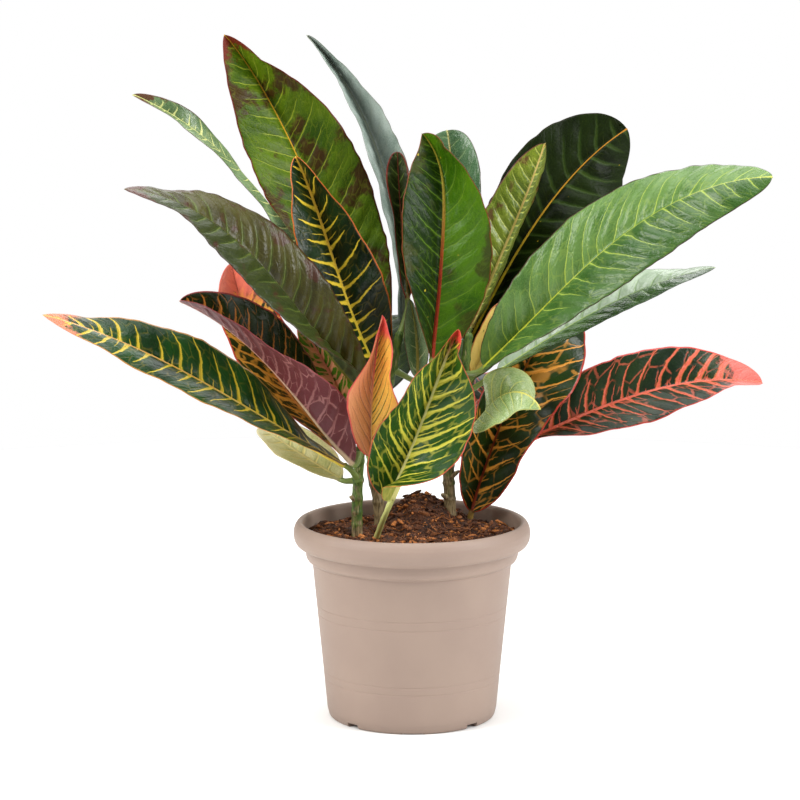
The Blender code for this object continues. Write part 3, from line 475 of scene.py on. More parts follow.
def leaf_material(name, p, seed):
    n = Nodes("croton_leaf_" + name)
    S, X, W = n.split(n.attribute("leaf_a").outputs["Vector"])
    T, side, phase = n.split(n.attribute("leaf_b").outputs["Vector"])
    ax = n.math("ABSOLUTE", X)
    av = n.math("DIVIDE", ax, n.math("MAXIMUM", W, 0.5), clamp=True)
    place = n.join(S, X, seed * 31.7)
    rag = n.math("SUBTRACT", n.noise(place, 0.22, 3.0, 0.6), 0.5)
    fine = n.noise(place, 1.1, 3.0, 0.6)
    low = n.noise(place, 0.035, 2.0)

    # side veins
    colour_v, width_v, reach, strength = p["vein"]
    wander = n.math("SUBTRACT", n.noise(place, 0.07, 2.0), 0.5)
    wobble = n.math("ADD", n.math("MULTIPLY", rag, p["ragged"] / p["spacing"]), n.math("MULTIPLY", wander, p["wander"] / p["spacing"]))
    course = n.math("ADD", phase, wobble)
    cycle = n.math("FRACT", course)
    d = n.math("MULTIPLY", n.math("ABSOLUTE", n.math("SUBTRACT", cycle, 0.5)), p["spacing"])
    # each side vein has its own strength and reach
    each = n.tree.nodes.new("ShaderNodeTexWhiteNoise")
    each.noise_dimensions = "1D"
    n.put(each.inputs["W"], n.math("ADD", n.math("ADD", n.math("FLOOR", course), n.math("MULTIPLY", n.math("GREATER_THAN", X, 0.0), 57.3)), seed * 11.7))
    r1, r2, _ = n.split(each.outputs["Color"])
    far = n.math("MULTIPLY", n.math("ADD", n.math("MULTIPLY", r1, 0.42), 0.70), reach)
    taper = n.math("SUBTRACT", 1.0, n.math("POWER", n.math("DIVIDE", av, far, clamp=True), 1.5), clamp=True)
    w = n.math("MULTIPLY", n.math("ADD", n.math("MULTIPLY", r2, 0.7), 0.68), width_v)
    w = n.math("ADD", n.math("MULTIPLY", rag, p["ragged"] * 1.1), w)
    w = n.math("ADD", w, n.math("MULTIPLY", n.step(av, 0.22, 0.0), p["root"]))
    w = n.math("MULTIPLY", w, taper)
    if p["flare"]:
        w = n.math("ADD", w, n.math("MULTIPLY", n.step(T, p["flare"][0], p["flare"][1]), p["flare"][2]))
    half = n.math("MULTIPLY", w, 0.5)
    vein = n.step(d, n.math("ADD", half, 0.35), n.math("MULTIPLY", half, 0.8))
    vein = n.math("MULTIPLY", vein, n.step(w, 0.05, 0.35))
    # shorter veins between them
    between = n.math("MULTIPLY", n.math("ABSOLUTE", n.math("SUBTRACT", n.math("FRACT", n.math("ADD", course, 0.5 + 0.06)), 0.5)), p["spacing"])
    w2 = n.math("MULTIPLY", n.math("SUBTRACT", 1.0, n.math("DIVIDE", av, n.math("ADD", n.math("MULTIPLY", r2, 0.5), 0.12)), clamp=True),
                n.math("ADD", n.math("MULTIPLY", rag, p["ragged"] * 0.7), width_v * 0.55))
    short = n.math("MULTIPLY", n.step(between, n.math("ADD", n.math("MULTIPLY", w2, 0.5), 0.3), n.math("MULTIPLY", w2, 0.35)), n.step(w2, 0.05, 0.3))
    vein = n.math("MAXIMUM", vein, n.math("MULTIPLY", short, 0.8))
    halo = n.math("MULTIPLY", n.step(d, n.math("ADD", half, p["halo"][1]), half), taper)
    # fine net, stretched along the side veins
    net_size, net_width, net_strength = p["net"]
    warp = n.join(n.math("ADD", n.math("MULTIPLY", phase, p["spacing"]), n.math("MULTIPLY", rag, 3.0)),
                  n.math("ADD", n.math("MULTIPLY", X, 0.72), n.math("MULTIPLY", fine, 0.8)), seed * 3.1)
    edge = n.math("MULTIPLY", n.cells(warp, 1 / net_size).outputs["Distance"], net_size)
    net = n.step(edge, net_width * 0.5 + 0.3, net_width * 0.35)
    net = n.math("MULTIPLY", net, n.step(n.noise(place, 0.12, 1.0), 0.38, 0.56))

    dark, mid, lean = p["base"]
    blade = n.mix(n.step(n.math("ADD", n.math("MULTIPLY", low, 0.65), n.math("MULTIPLY", fine, 0.35)), lean - 0.14, lean + 0.16), dark, mid)
    # one half of the blade takes another tone: painted shade on centre_green and light_green_right, painted sheen on
    # upright_olive and glossy_right, a darker green half on quilted_left
    if p["half"]:
        sign, tone, amount = p["half"]
        blade = n.mix(n.math("MULTIPLY", n.step(n.math("MULTIPLY", X, float(sign)), -0.4, 0.8), amount), blade, tone)
    if p["patch"]:
        tone, size, at = p["patch"]
        stain = n.math("ADD", n.noise(place, 1 / size, 4.0, 0.62), n.math("MULTIPLY", n.step(av, 0.55, 1.0), 0.08))
        blade = n.mix(n.math("MULTIPLY", n.step(stain, at - 0.05, at + 0.05), 0.85), blade, tone)
    blade = n.mix(n.math("MULTIPLY", halo, p["halo"][2]), blade, p["halo"][0])
    blade = n.mix(n.math("MULTIPLY", net, net_strength), blade, colour_v)
    if p["spots"]:
        tone, size, radius = p["spots"]
        dots = n.cells(n.join(S, n.math("MULTIPLY", X, 1.3), seed * 7.7), 1 / size, "F1")
        red = n.split(dots.outputs["Color"])[0]
        dot = n.step(n.math("MULTIPLY", dots.outputs["Distance"], size), n.math("ADD", n.math("MULTIPLY", fine, radius), radius * 0.5), radius * 0.35)
        blade = n.mix(n.math("MULTIPLY", dot, n.step(red, 0.45, 0.5)), blade, tone)
    blade = n.mix(n.math("MULTIPLY", vein, strength), blade, colour_v)
    if p["cover"]:
        sign, tone, amount = p["cover"]
        blade = n.mix(n.math("MULTIPLY", n.step(n.math("MULTIPLY", X, float(sign)), -0.2, 0.6), amount), blade, tone)
    # margin and midrib
    inward = n.math("SUBTRACT", W, ax)
    m_width = n.math("MULTIPLY", n.math("ADD", fine, 0.5), p["margin"][1])
    margin = n.step(inward, n.math("MULTIPLY", m_width, 1.5), n.math("MULTIPLY", m_width, 0.6))
    blade = n.mix(margin, blade, p["margin"][0])
    rib_half = n.math("MULTIPLY", n.math("SUBTRACT", 1.0, n.math("MULTIPLY", T, 0.62)), p["rib"][2] * 0.78)
    rib_half = n.math("ADD", rib_half, n.math("MULTIPLY", rag, 0.5))
    rib = n.step(ax, n.math("ADD", rib_half, 0.3), n.math("MULTIPLY", rib_half, 0.75))
    rib_tone = n.mix(n.step(T, *p["rib_change"]), p["rib"][0], p["rib"][1])
    if p["tip"]:
        tone, start, full = p["tip"]
        reach_t = n.math("ADD", n.math("ADD", T, n.math("MULTIPLY", rag, 0.16)), n.math("MULTIPLY", av, 0.05))
        blade = n.mix(n.math("MULTIPLY", n.step(reach_t, start, full), 0.94), blade, tone)
    # the lower face
    below = n.mix(n.step(fine, 0.25, 0.75), p["under"][0], n.mix(0.3, p["under"][0], p["base"][1]))
    web = n.math("MAXIMUM", n.math("MULTIPLY", net, 0.8), n.math("MULTIPLY", n.step(d, 1.3, 0.3), taper))
    below = n.mix(n.math("MULTIPLY", web, p["under"][2]), below, p["under"][1])
    if p["under"] is PLAIN["under"]:
        below = n.mix(0.55, below, blade)
    below = n.mix(n.math("MULTIPLY", margin, 0.7), below, p["margin"][0])
    upper = n.step(side, 0.35, 0.65)
    colour = n.mix(upper, below, blade)
    colour = n.mix(rib, colour, rib_tone)
    colour = n.mix(n.step(S, 2.5, -0.5), colour, p["stalk"])
    colour = n.multiply(colour, n.grey(n.math("ADD", 0.62, n.math("MULTIPLY", fine, 0.18))))
    n.put(n.bsdf.inputs["Base Color"], colour)
    gloss = n.math("ADD", n.math("MULTIPLY", fine, 0.14), n.math("SUBTRACT", p["rough"] + 0.16, n.math("MULTIPLY", upper, 0.2)))
    n.put(n.bsdf.inputs["Roughness"], gloss)
    n.bsdf.inputs["Specular IOR Level"].default_value = p["spec"]
    height = n.math("MULTIPLY", n.step(d, 1.6, 0.0), n.math("MULTIPLY", taper, -0.30))
    height = n.math("ADD", height, n.math("MULTIPLY", n.step(edge, 1.1, 0.1), -0.10))
    height = n.math("ADD", height, n.math("MULTIPLY", n.noise(place, 0.55, 2.0), 0.22))
    n.put(n.bsdf.inputs["Normal"], n.bump(height, MM))
    return n.mat


# ---------------------------------------------------------------- leaf shapes
LEAF_COLUMNS = 41


def leaf_mesh(name, spec, p, seed):
    length, wide = spec["size"]
    step = 1.5
    start, rib, _ = midrib(spec, samples=241)
    stations = int(np.clip(length / step, 50, 180))
    t = np.linspace(0, 1, stations) ** 1.0
    t = np.unique(np.r_[t, np.linspace(0, 0.06, 10), 0.985, 0.993, 0.998])
    fine_t = np.linspace(0, 1, 241)
    centre = np.stack([np.interp(t, fine_t, rib[:, k]) for k in range(3)], 1)
    heading, rise = three_point(spec["heading"], t), three_point(spec["rise"], t)
    direction = heading_vector(heading, rise)
    side, normal = frame_of(direction)
    u = np.linspace(-1, 1, LEAF_COLUMNS)
    columns = np.sign(u) * np.abs(u) ** 1.25
    offsets, faces = across(spec, t, side, normal, columns)
    width = half_width(t, spec)
    v = columns[:, None]
    s = (t * length)[None, :]
    # side vein rhythm: each half keeps its own
    k1, k2 = p["forward"]
    x = np.abs(v) * width[None, :]
    late = np.where(v > 0, 0.5 + 0.13 * np.sin(seed), 0.0)
    drift = (value_noise(s / 22, v * 1.3 + 5, seed) - 0.5) * 0.45
    phase = (s - k1 * x - k2 * x * np.abs(v)) / p["spacing"] + late + drift
    envelope = smooth(np.abs(v), 0.02, 0.3) * (1 - 0.65 * smooth(np.abs(v), 0.55, 1.0)) * smooth(t, 0.02, 0.15)[None, :] * (1 - smooth(t, 0.86, 1.0)[None, :])
    pillow = 0.6 * p["quilt"] * (0.5 + 0.5 * np.cos(2 * np.pi * phase)) ** 0.8 * envelope * np.clip(width / 26, 0.3, 1.2)[None, :]
    pillow = pillow + (value_noise(s / 7, v * width[None, :] / 7, seed + 3) - 0.5) * 0.45 * smooth(np.abs(v), 0.05, 0.4)
    edge_wave = 0.7 * np.abs(v) ** 2.6 * p["wave"] * (np.sin(2 * np.pi * s / (46 + 5 * np.cos(seed)) + np.where(v > 0, 1.9, 0.0) + seed)
                                               + 1.4 * (value_noise(s / 15, v * 0.7 + 3, seed + 9) - 0.5)) * smooth(t, 0.08, 0.35)[None, :] * (1 - smooth(t, 0.8, 1.0)[None, :])
    nick = 1 + (value_noise(s / 6, np.sign(v) * 3 + 7, seed + 17) - 0.5) * 0.035
    lift = (pillow + edge_wave)[..., None] * faces
    sheet = offsets * nick[..., None] + lift
    # thickness, midrib and the round stalk that they grow from
    thin = np.clip(width / 4, 0.15, 1)[None, :]
    skin = (0.40 * (1 - 0.3 * t)[None, :] * np.sqrt(np.clip(1.02 - np.abs(v) ** 6, 0.02, 1))) * thin
    rib_r = (PETIOLE_RADIUS * (1 - 0.78 * t) + 0.05)[None, :]
    keel = np.sqrt(np.clip(rib_r ** 2 - (x * 1.0) ** 2, 0, None)) * np.clip(width / 2.5, 0.25, 1)[None, :]
    crest = 0.45 * np.exp(-(x / (0.9 * rib_r + 0.5)) ** 2) * (1 - 0.5 * t)[None, :]
    # the thickness stands on the sheet's own normal, and on the midrib's where the halves meet
    surface = centre[None] + sheet
    true = np.cross(np.gradient(surface, axis=0), np.gradient(surface, axis=1))
    true /= np.linalg.norm(true, axis=2, keepdims=True) + 1e-9
    enough = smooth(width, 0.8, 4.0)[None, :, None]
    lean = smooth(x, 0.0, 2.6)[..., None]
    out = normal[None] * (1 - lean) + (true * enough + faces * (1 - enough)) * lean
    out /= np.linalg.norm(out, axis=2, keepdims=True)
    # the midrib is thick, so it fills the bottom of the fold between the halves
    ridge = sum(lifts(spec, t)) / 2
    half_rib = (p["rib"][2] * 0.58 * (1 - 0.6 * t))[None, :]
    fill = np.clip(half_rib - x, 0, None) * np.clip(np.sin(ridge), 0, 0.9)[None, :] * smooth(width, 2.0, 7.0)[None, :]
    up = sheet + (skin + crest)[..., None] * out + fill[..., None] * normal[None]
    low = sheet - (skin + 0.9 * keel)[..., None] * out
    band = np.concatenate([up, low[::-1]], 0)
    m = LEAF_COLUMNS
    angle = np.pi - np.pi * (np.arange(2 * m) + 0.5) / m
    left, right = lifts(spec, t[:1])
    turn = (right[0] - left[0]) / 2
    disc_r = np.clip(PETIOLE_RADIUS * (1 - 0.8 * t), 0.22, None)
    a = angle[:, None] + turn
    disc = disc_r[None, :, None] * (np.cos(a)[..., None] * side[None] + np.sin(a)[..., None] * normal[None])
    blend = smooth(width, 0.9, 4.0)[None, :, None]
    blend = np.where(t[None, :, None] > 0.5, smooth(width, 0.0, 0.5)[None, :, None], blend)
    ring = centre[None] + disc * (1 - blend) + band * blend
    n_st = len(t)

    # stalk
    reach = np.linalg.norm(rib[0] - start)
    count = max(8, int(reach / 1.5))
    way = stalk(start, rib[0], heading_vector(*spec["petiole"][:2]), direction[0], count)[:-1]
    run = np.gradient(np.vstack([way, rib[:1]]), axis=0)[:-1]
    run /= np.linalg.norm(run, axis=1)[:, None]
    s_side, s_up = frame_of(run)
    share = np.arange(count) / count
    radius = PETIOLE_RADIUS * (1 + 0.45 * np.exp(-share * reach / 3.0) + 0.04 * np.sin(share * reach / 2.2))
    ang = angle[:, None] + turn * share[None, :]
    groove = 1 - 0.16 * np.exp(-((angle - np.pi / 2) / 0.45) ** 2)[:, None] * smooth(share * reach, 2, 8)[None, :]
    stalk_ring = way[None] + (radius[None, :] * groove)[..., None] * (np.cos(ang)[..., None] * s_side[None] + np.sin(ang)[..., None] * s_up[None])
    verts = np.concatenate([stalk_ring, ring], 1).transpose(1, 0, 2)          # stations, around, 3
    rows, around = verts.shape[:2]

    column_v = np.r_[columns, columns[::-1]]
    along = np.r_[share * reach - reach, t * length]
    w_all = np.r_[np.full(count, 2.0), width]
    t_all = np.r_[np.zeros(count), t]
    A = np.empty((rows, around, 3))
    A[..., 0] = along[:, None]
    A[..., 1] = column_v[None, :] * w_all[:, None]
    A[..., 2] = w_all[:, None]
    B = np.empty((rows, around, 3))
    B[..., 0] = t_all[:, None]
    B[..., 1] = np.r_[np.ones(m), np.zeros(m)][None, :]
    ph = np.concatenate([phase, phase[::-1]], 0).T
    B[..., 2] = np.vstack([np.zeros((count, around)), ph])

    index = np.arange(rows * around).reshape(rows, around)
    nxt = np.roll(index, -1, 1)
    quads = np.stack([index[:-1], nxt[:-1], nxt[1:], index[1:]], -1).reshape(-1, 4)
    # ends closed with a fan of quads round a centre point
    c0, c1 = rows * around, rows * around + 1
    ends = []
    for k in range(0, around, 2):
        b, c = (k + 1) % around, (k + 2) % around
        ends.append((c0, index[0, c], index[0, b], index[0, k]))
        ends.append((c1, index[-1, k], index[-1, b], index[-1, c]))
    quads = np.vstack([quads, np.array(ends)])
    points = np.vstack([verts.reshape(-1, 3), verts[0].mean(0)[None], (centre[-1] + direction[-1] * 0.5)[None]]) * MM
    A = np.vstack([A.reshape(-1, 3), A[0].mean(0)[None], A[-1].mean(0)[None]])
    B = np.vstack([B.reshape(-1, 3), B[0].mean(0)[None], B[-1].mean(0)[None]])
    tri = points[quads[:, :3]]
    volume = np.einsum("ij,ij->i", tri[:, 0], np.cross(tri[:, 1], tri[:, 2])).sum() + np.einsum(
        "ij,ij->i", points[quads[:, 0]], np.cross(points[quads[:, 2]], points[quads[:, 3]])).sum()
    if volume < 0:
        quads = quads[:, ::-1]
    return grid_mesh("croton_leaf_" + name, points, quads, {"leaf_a": A, "leaf_b": B})


for k, (name, spec) in enumerate(LEAVES.items()):
    add_piece("croton_leaf_" + name, leaf_mesh(name, spec, LOOKS[name], k + 1),
              leaf_material(name, LOOKS[name], k + 1), "leaf_" + name)


# ---------------------------------------------------------------- stems
def bark_material():
    n = Nodes("croton_bark")
    data, where, tone = n.split(n.attribute("stem_a").outputs["Vector"])      # height mm, angle, greenness
    coord = n.tree.nodes.new("ShaderNodeTexCoord").outputs["Object"]
    streak = n.tree.nodes.new("ShaderNodeMapping")
    n.put(streak.inputs[0], coord)
    streak.inputs[3].default_value = (900, 900, 160)
    lines = n.noise(streak.outputs[0], 1.0, 4.0, 0.6)
    blot = n.noise(coord, 140.0, 3.0, 0.6)
    fine = n.noise(coord, 1500.0, 2.0, 0.6)
    green = n.mix(n.step(lines, 0.35, 0.65), rgb(50, 80, 20), rgb(98, 122, 44))
    brown = n.mix(n.step(lines, 0.35, 0.65), rgb(84, 70, 42), rgb(150, 130, 92))
    share = n.math("ADD", tone, n.math("MULTIPLY", n.math("SUBTRACT", blot, 0.5), 1.3))
    colour = n.mix(n.step(share, 0.35, 0.65), brown, green)
    pores = n.cells(streak.outputs[0], 0.45, "F1").outputs["Distance"]
    colour = n.mix(n.math("MULTIPLY", n.step(pores, 0.28, 0.12), 0.6), colour, rgb(176, 158, 118))
    colour = n.multiply(colour, n.grey(n.math("ADD", 0.75, n.math("MULTIPLY", fine, 0.5))))
    n.put(n.bsdf.inputs["Base Color"], colour)
    n.put(n.bsdf.inputs["Roughness"], n.math("ADD", 0.42, n.math("MULTIPLY", blot, 0.3)))
    n.put(n.bsdf.inputs["Normal"], n.bump(n.math("ADD", n.math("MULTIPLY", lines, 0.5), n.math("MULTIPLY", fine, 0.15)), 0.6 * MM))
    return n.mat


def stem_mesh(name, spec, rings, tone, seed):
    way = smooth_way(spec["way"], 0.7)
    tip = way[-1] + (way[-1] - way[-2]) * 3.0
    way = np.vstack([way, (way[-1] + tip) / 2, tip])
    tangent = np.gradient(way, axis=0)
    tangent /= np.linalg.norm(tangent, axis=1)[:, None]
    share = np.linspace(0, 1, len(way))
    radius = spec["radius"][0] + (spec["radius"][1] - spec["radius"][0]) * share
    radius[-2:] *= (0.8, 0.35)
    z = way[:, 2]
    for height, size, spread in rings:
        radius = radius + size * np.exp(-((z - height) / spread) ** 2)
    sides = 48
    a = 2 * np.pi * np.arange(sides) / sides
    xs, frames = np.cross(tangent[0], (0, 1, 0)), []
    for d in tangent:
        xs = xs - (xs @ d) * d
        xs /= np.linalg.norm(xs)
        frames.append((xs, np.cross(d, xs)))
    fx, fy = np.array([f[0] for f in frames]), np.array([f[1] for f in frames])
    rough = 1 + 0.07 * (value_noise(np.cos(a)[None] * 1.6 + 9, np.sin(a)[None] * 1.6 + 9, z[:, None] / 9, seed) - 0.5) \
        + 0.035 * (value_noise(a[None] * 4, z[:, None] / 3, 0, seed + 4) - 0.5)
    pts = way[:, None] + (radius[:, None] * rough)[..., None] * (np.cos(a)[None, :, None] * fx[:, None] + np.sin(a)[None, :, None] * fy[:, None])
    rows = len(way)
    index = np.arange(rows * sides).reshape(rows, sides)
    nxt = np.roll(index, -1, 1)
    quads = np.stack([index[:-1], nxt[:-1], nxt[1:], index[1:]], -1).reshape(-1, 4)
    ends = []
    for k in range(0, sides, 2):
        b, c = (k + 1) % sides, (k + 2) % sides
        ends.append((rows * sides, index[0, c], index[0, b], index[0, k]))
        ends.append((rows * sides + 1, index[-1, k], index[-1, b], index[-1, c]))
    quads = np.vstack([quads, ends])
    points = np.vstack([pts.reshape(-1, 3), way[:1], tip[None] + tangent[-1] * 0.3]) * MM
    att = np.empty((rows, sides, 3))
    att[..., 0], att[..., 1] = z[:, None], a[None]
    att[..., 2] = np.interp(z, (127, 150, 180, 230), tone)[:, None]
    att = np.vstack([att.reshape(-1, 3), att[0].mean(0)[None], att[-1].mean(0)[None]])
    return grid_mesh("croton_stem_" + name, points, quads, {"stem_a": att})


def knob(centre, axis, length, radius, seed):
    """Bud or cut stub: a blunt tapered peg standing on the stem."""
    axis = np.asarray(axis, float) / np.linalg.norm(axis)
    x = np.cross(axis, (0, 0, 1.0))
    x /= np.linalg.norm(x)
    y = np.cross(axis, x)
    s = np.linspace(0, 1, 14)
    r = radius * (1 - 0.35 * s) * np.sqrt(np.clip(1 - s ** 5, 0.0, 1)) + 0.02
    sides = 18
    a = 2 * np.pi * np.arange(sides) / sides
    wob = 1 + 0.14 * (value_noise(a[None] * 1.3, s[:, None] * 4, 0, seed) - 0.5)
    pts = np.asarray(centre, float) + axis * (s[:, None, None] * length) + (r[:, None] * wob)[..., None] * (np.cos(a)[None, :, None] * x + np.sin(a)[None, :, None] * y)
    index = np.arange(14 * sides).reshape(14, sides)
    nxt = np.roll(index, -1, 1)
    quads = np.stack([index[:-1], nxt[:-1], nxt[1:], index[1:]], -1).reshape(-1, 4)
    ends = []
    for k in range(0, sides, 2):
        b, c = (k + 1) % sides, (k + 2) % sides
        ends.append((14 * sides, index[0, c], index[0, b], index[0, k]))
        ends.append((14 * sides + 1, index[-1, k], index[-1, b], index[-1, c]))
    points = np.vstack([pts.reshape(-1, 3), np.asarray(centre, float)[None], (np.asarray(centre, float) + axis * length)[None]])
    return points, np.vstack([quads, ends])


def with_knobs(mesh, knobs):
    """Join pegs to a stem's mesh."""
    bm = bmesh.new()
    bm.from_mesh(mesh)
    layer = bm.verts.layers.float_vector["stem_a"]
    for points, quads in knobs:
        made = [bm.verts.new(Vector(q) * MM) for q in points]
        for v in made:
            v[layer] = (v.co.z / MM, 0.0, 0.25)
        for q in quads:
            face = bm.faces.new([made[i] for i in q])
            face.smooth = True
    bmesh.ops.recalc_face_normals(bm, faces=bm.faces[:])
    bm.to_mesh(mesh)
    bm.free()
    return mesh


bark = bark_material()
NODES_OF = {name: sorted({spec["on"][1] for spec in LEAVES.values() if spec["on"][0] == name}) for name in STEMS}
RINGS = {
    "left": [(158, 0.7, 2.4), (148, 0.35, 1.2), (139, 0.3, 1.0)],
    "middle": [(150, 0.5, 1.6), (163, 0.4, 1.2), (178, 0.4, 1.3)],
    "right": [(163, 0.7, 1.5), (151, 0.4, 1.2), (176, 0.5, 1.3), (140, 0.35, 1.1)],
}
TONE = {"left": (0.3, 0.6, 0.75, 1.0), "middle": (0.1, 0.25, 0.5, 1.0), "right": (0.05, 0.2, 0.5, 1.0)}
for k, (name, spec) in enumerate(STEMS.items()):
    rings = RINGS[name] + [(h, 0.45, 1.8) for h in NODES_OF[name]]
    mesh = stem_mesh(name, spec, rings, TONE[name], 40 + k)
    if name == "right":
        foot = stem_point("right", 168)
        side_stub = stem_point("right", 152)
        mesh = with_knobs(mesh, [knob(foot + (2.0, -2.0, 0), (0.9, -0.35, 0.75), 8.0, 2.0, 5), knob(side_stub + (-1.5, -2, 0), (-0.6, -0.5, 0.45), 7.5, 2.3, 6)])
    if name == "left":
        mesh = with_knobs(mesh, [knob(stem_point("left", 157) + (-1.5, -2.0, 0), (-0.8, -0.4, 0.6), 5.5, 2.0, 8)])
    add_piece("croton_stem_" + name, mesh, bark, "stem_" + name)


# ---------------------------------------------------------------- potting soil
SOIL_LEVEL, SOIL_CROWN = 127.0, 2.5
MOUND_CENTRE, MOUND_HEIGHT, MOUND_SPREAD = (9.0, 45.0), 24.0, (13.0, 17.0)


def soil_height(x, y):
    r = np.hypot(x, y)
    out = ((x - MOUND_CENTRE[0]) / MOUND_SPREAD[0]) ** 2 + ((y - MOUND_CENTRE[1]) / MOUND_SPREAD[1]) ** 2
    mound = np.exp(-(out / 3.4) ** 1.6)
    edge = np.clip((73.0 - r) / 14, 0, 1)
    return SOIL_LEVEL + SOIL_CROWN * (1 - (r / 75) ** 2) + 0.74 * MOUND_HEIGHT * mound * edge


def heap(x, y):
    """Loose mix heaped a little higher towards the wall than its mean level."""
    return 4.5 * smooth(np.hypot(x, y), 25.0, 60.0)


def crumbs(x, y):
    h = (value_noise(x / 11, y / 11, 0, 60) - 0.5) * 5.0 + (value_noise(x / 4.5, y / 4.5, 0, 61) - 0.5) * 3.2
    return h + (value_noise(x / 1.9, y / 1.9, 0, 62) - 0.5) * 1.8 + (value_noise(x / 0.9, y / 0.9, 0, 63) - 0.5) * 0.7


def soil_material(name, low, high, chip):
    n = Nodes(name)
    coord = n.tree.nodes.new("ShaderNodeTexCoord").outputs["Object"]
    tone = n.split(n.attribute("soil_a").outputs["Vector"])[0]
    grain = n.noise(coord, 900.0, 4.0, 0.65)
    clump = n.noise(coord, 160.0, 3.0, 0.6)
    colour = n.mix(n.step(n.math("ADD", n.math("MULTIPLY", grain, 0.6), n.math("MULTIPLY", clump, 0.4)), 0.36, 0.66), low, high)
    colour = n.mix(n.math("MULTIPLY", n.step(tone, 0.5, 1.0), n.step(grain, 0.2, 0.6)), colour, chip)
    fibre = n.noise(coord, 2600.0, 2.0)
    colour = n.multiply(colour, n.grey(n.math("ADD", 0.6, n.math("MULTIPLY", fibre, 0.8))))
    n.put(n.bsdf.inputs["Base Color"], colour)
    n.put(n.bsdf.inputs["Roughness"], n.math("ADD", 0.78, n.math("MULTIPLY", clump, 0.2)))
    n.put(n.bsdf.inputs["Normal"], n.bump(n.math("ADD", n.math("MULTIPLY", grain, 0.8), n.math("MULTIPLY", fibre, 0.3)), 0.8 * MM))
    return n.mat


def soil_mesh():
    rows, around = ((130, 420))
    top_r = 74.2
    r = top_r * (1 - np.linspace(0, 1, rows) ** 1.0)[:-1]
    a = 2 * np.pi * np.arange(around) / around
    x, y = r[:, None] * np.cos(a)[None], r[:, None] * np.sin(a)[None]
    z = soil_height(x, y) + heap(x, y) + crumbs(x, y) * smooth(top_r - r, 0.0, 2.5)[:, None]
    shell = [np.stack([rr * np.cos(a), rr * np.sin(a), np.full(around, zz)], -1) for rr, zz in ((58.4, 6.2), (69.0, 112.0), (73.6, 120.0), (73.9, 123.0))]
    top = np.stack([x, y, z], -1)
    verts = np.concatenate([np.array(shell), top], 0)
    n_rows = len(verts)
    index = np.arange(n_rows * around).reshape(n_rows, around)
    nxt = np.roll(index, -1, 1)
    quads = np.stack([index[:-1], nxt[:-1], nxt[1:], index[1:]], -1).reshape(-1, 4)
    ends = []
    for k in range(0, around, 2):
        b, c = (k + 1) % around, (k + 2) % around
        ends.append((n_rows * around, index[0, c], index[0, b], index[0, k]))
        ends.append((n_rows * around + 1, index[-1, k], index[-1, b], index[-1, c]))
    peak = float(soil_height(0.0, 0.0) + crumbs(np.array(0.0), np.array(0.0)))
    points = np.vstack([verts.reshape(-1, 3), [[0, 0, 6.2], [0, 0, peak]]]) * MM
    tone = np.zeros((len(points), 3))
    tone[:, 0] = value_noise(points[:, 0] / MM / 3.5, points[:, 1] / MM / 3.5, 0, 70) * 0.75
    return grid_mesh("croton_soil", points, np.vstack([quads, ends]), {"soil_a": tone})


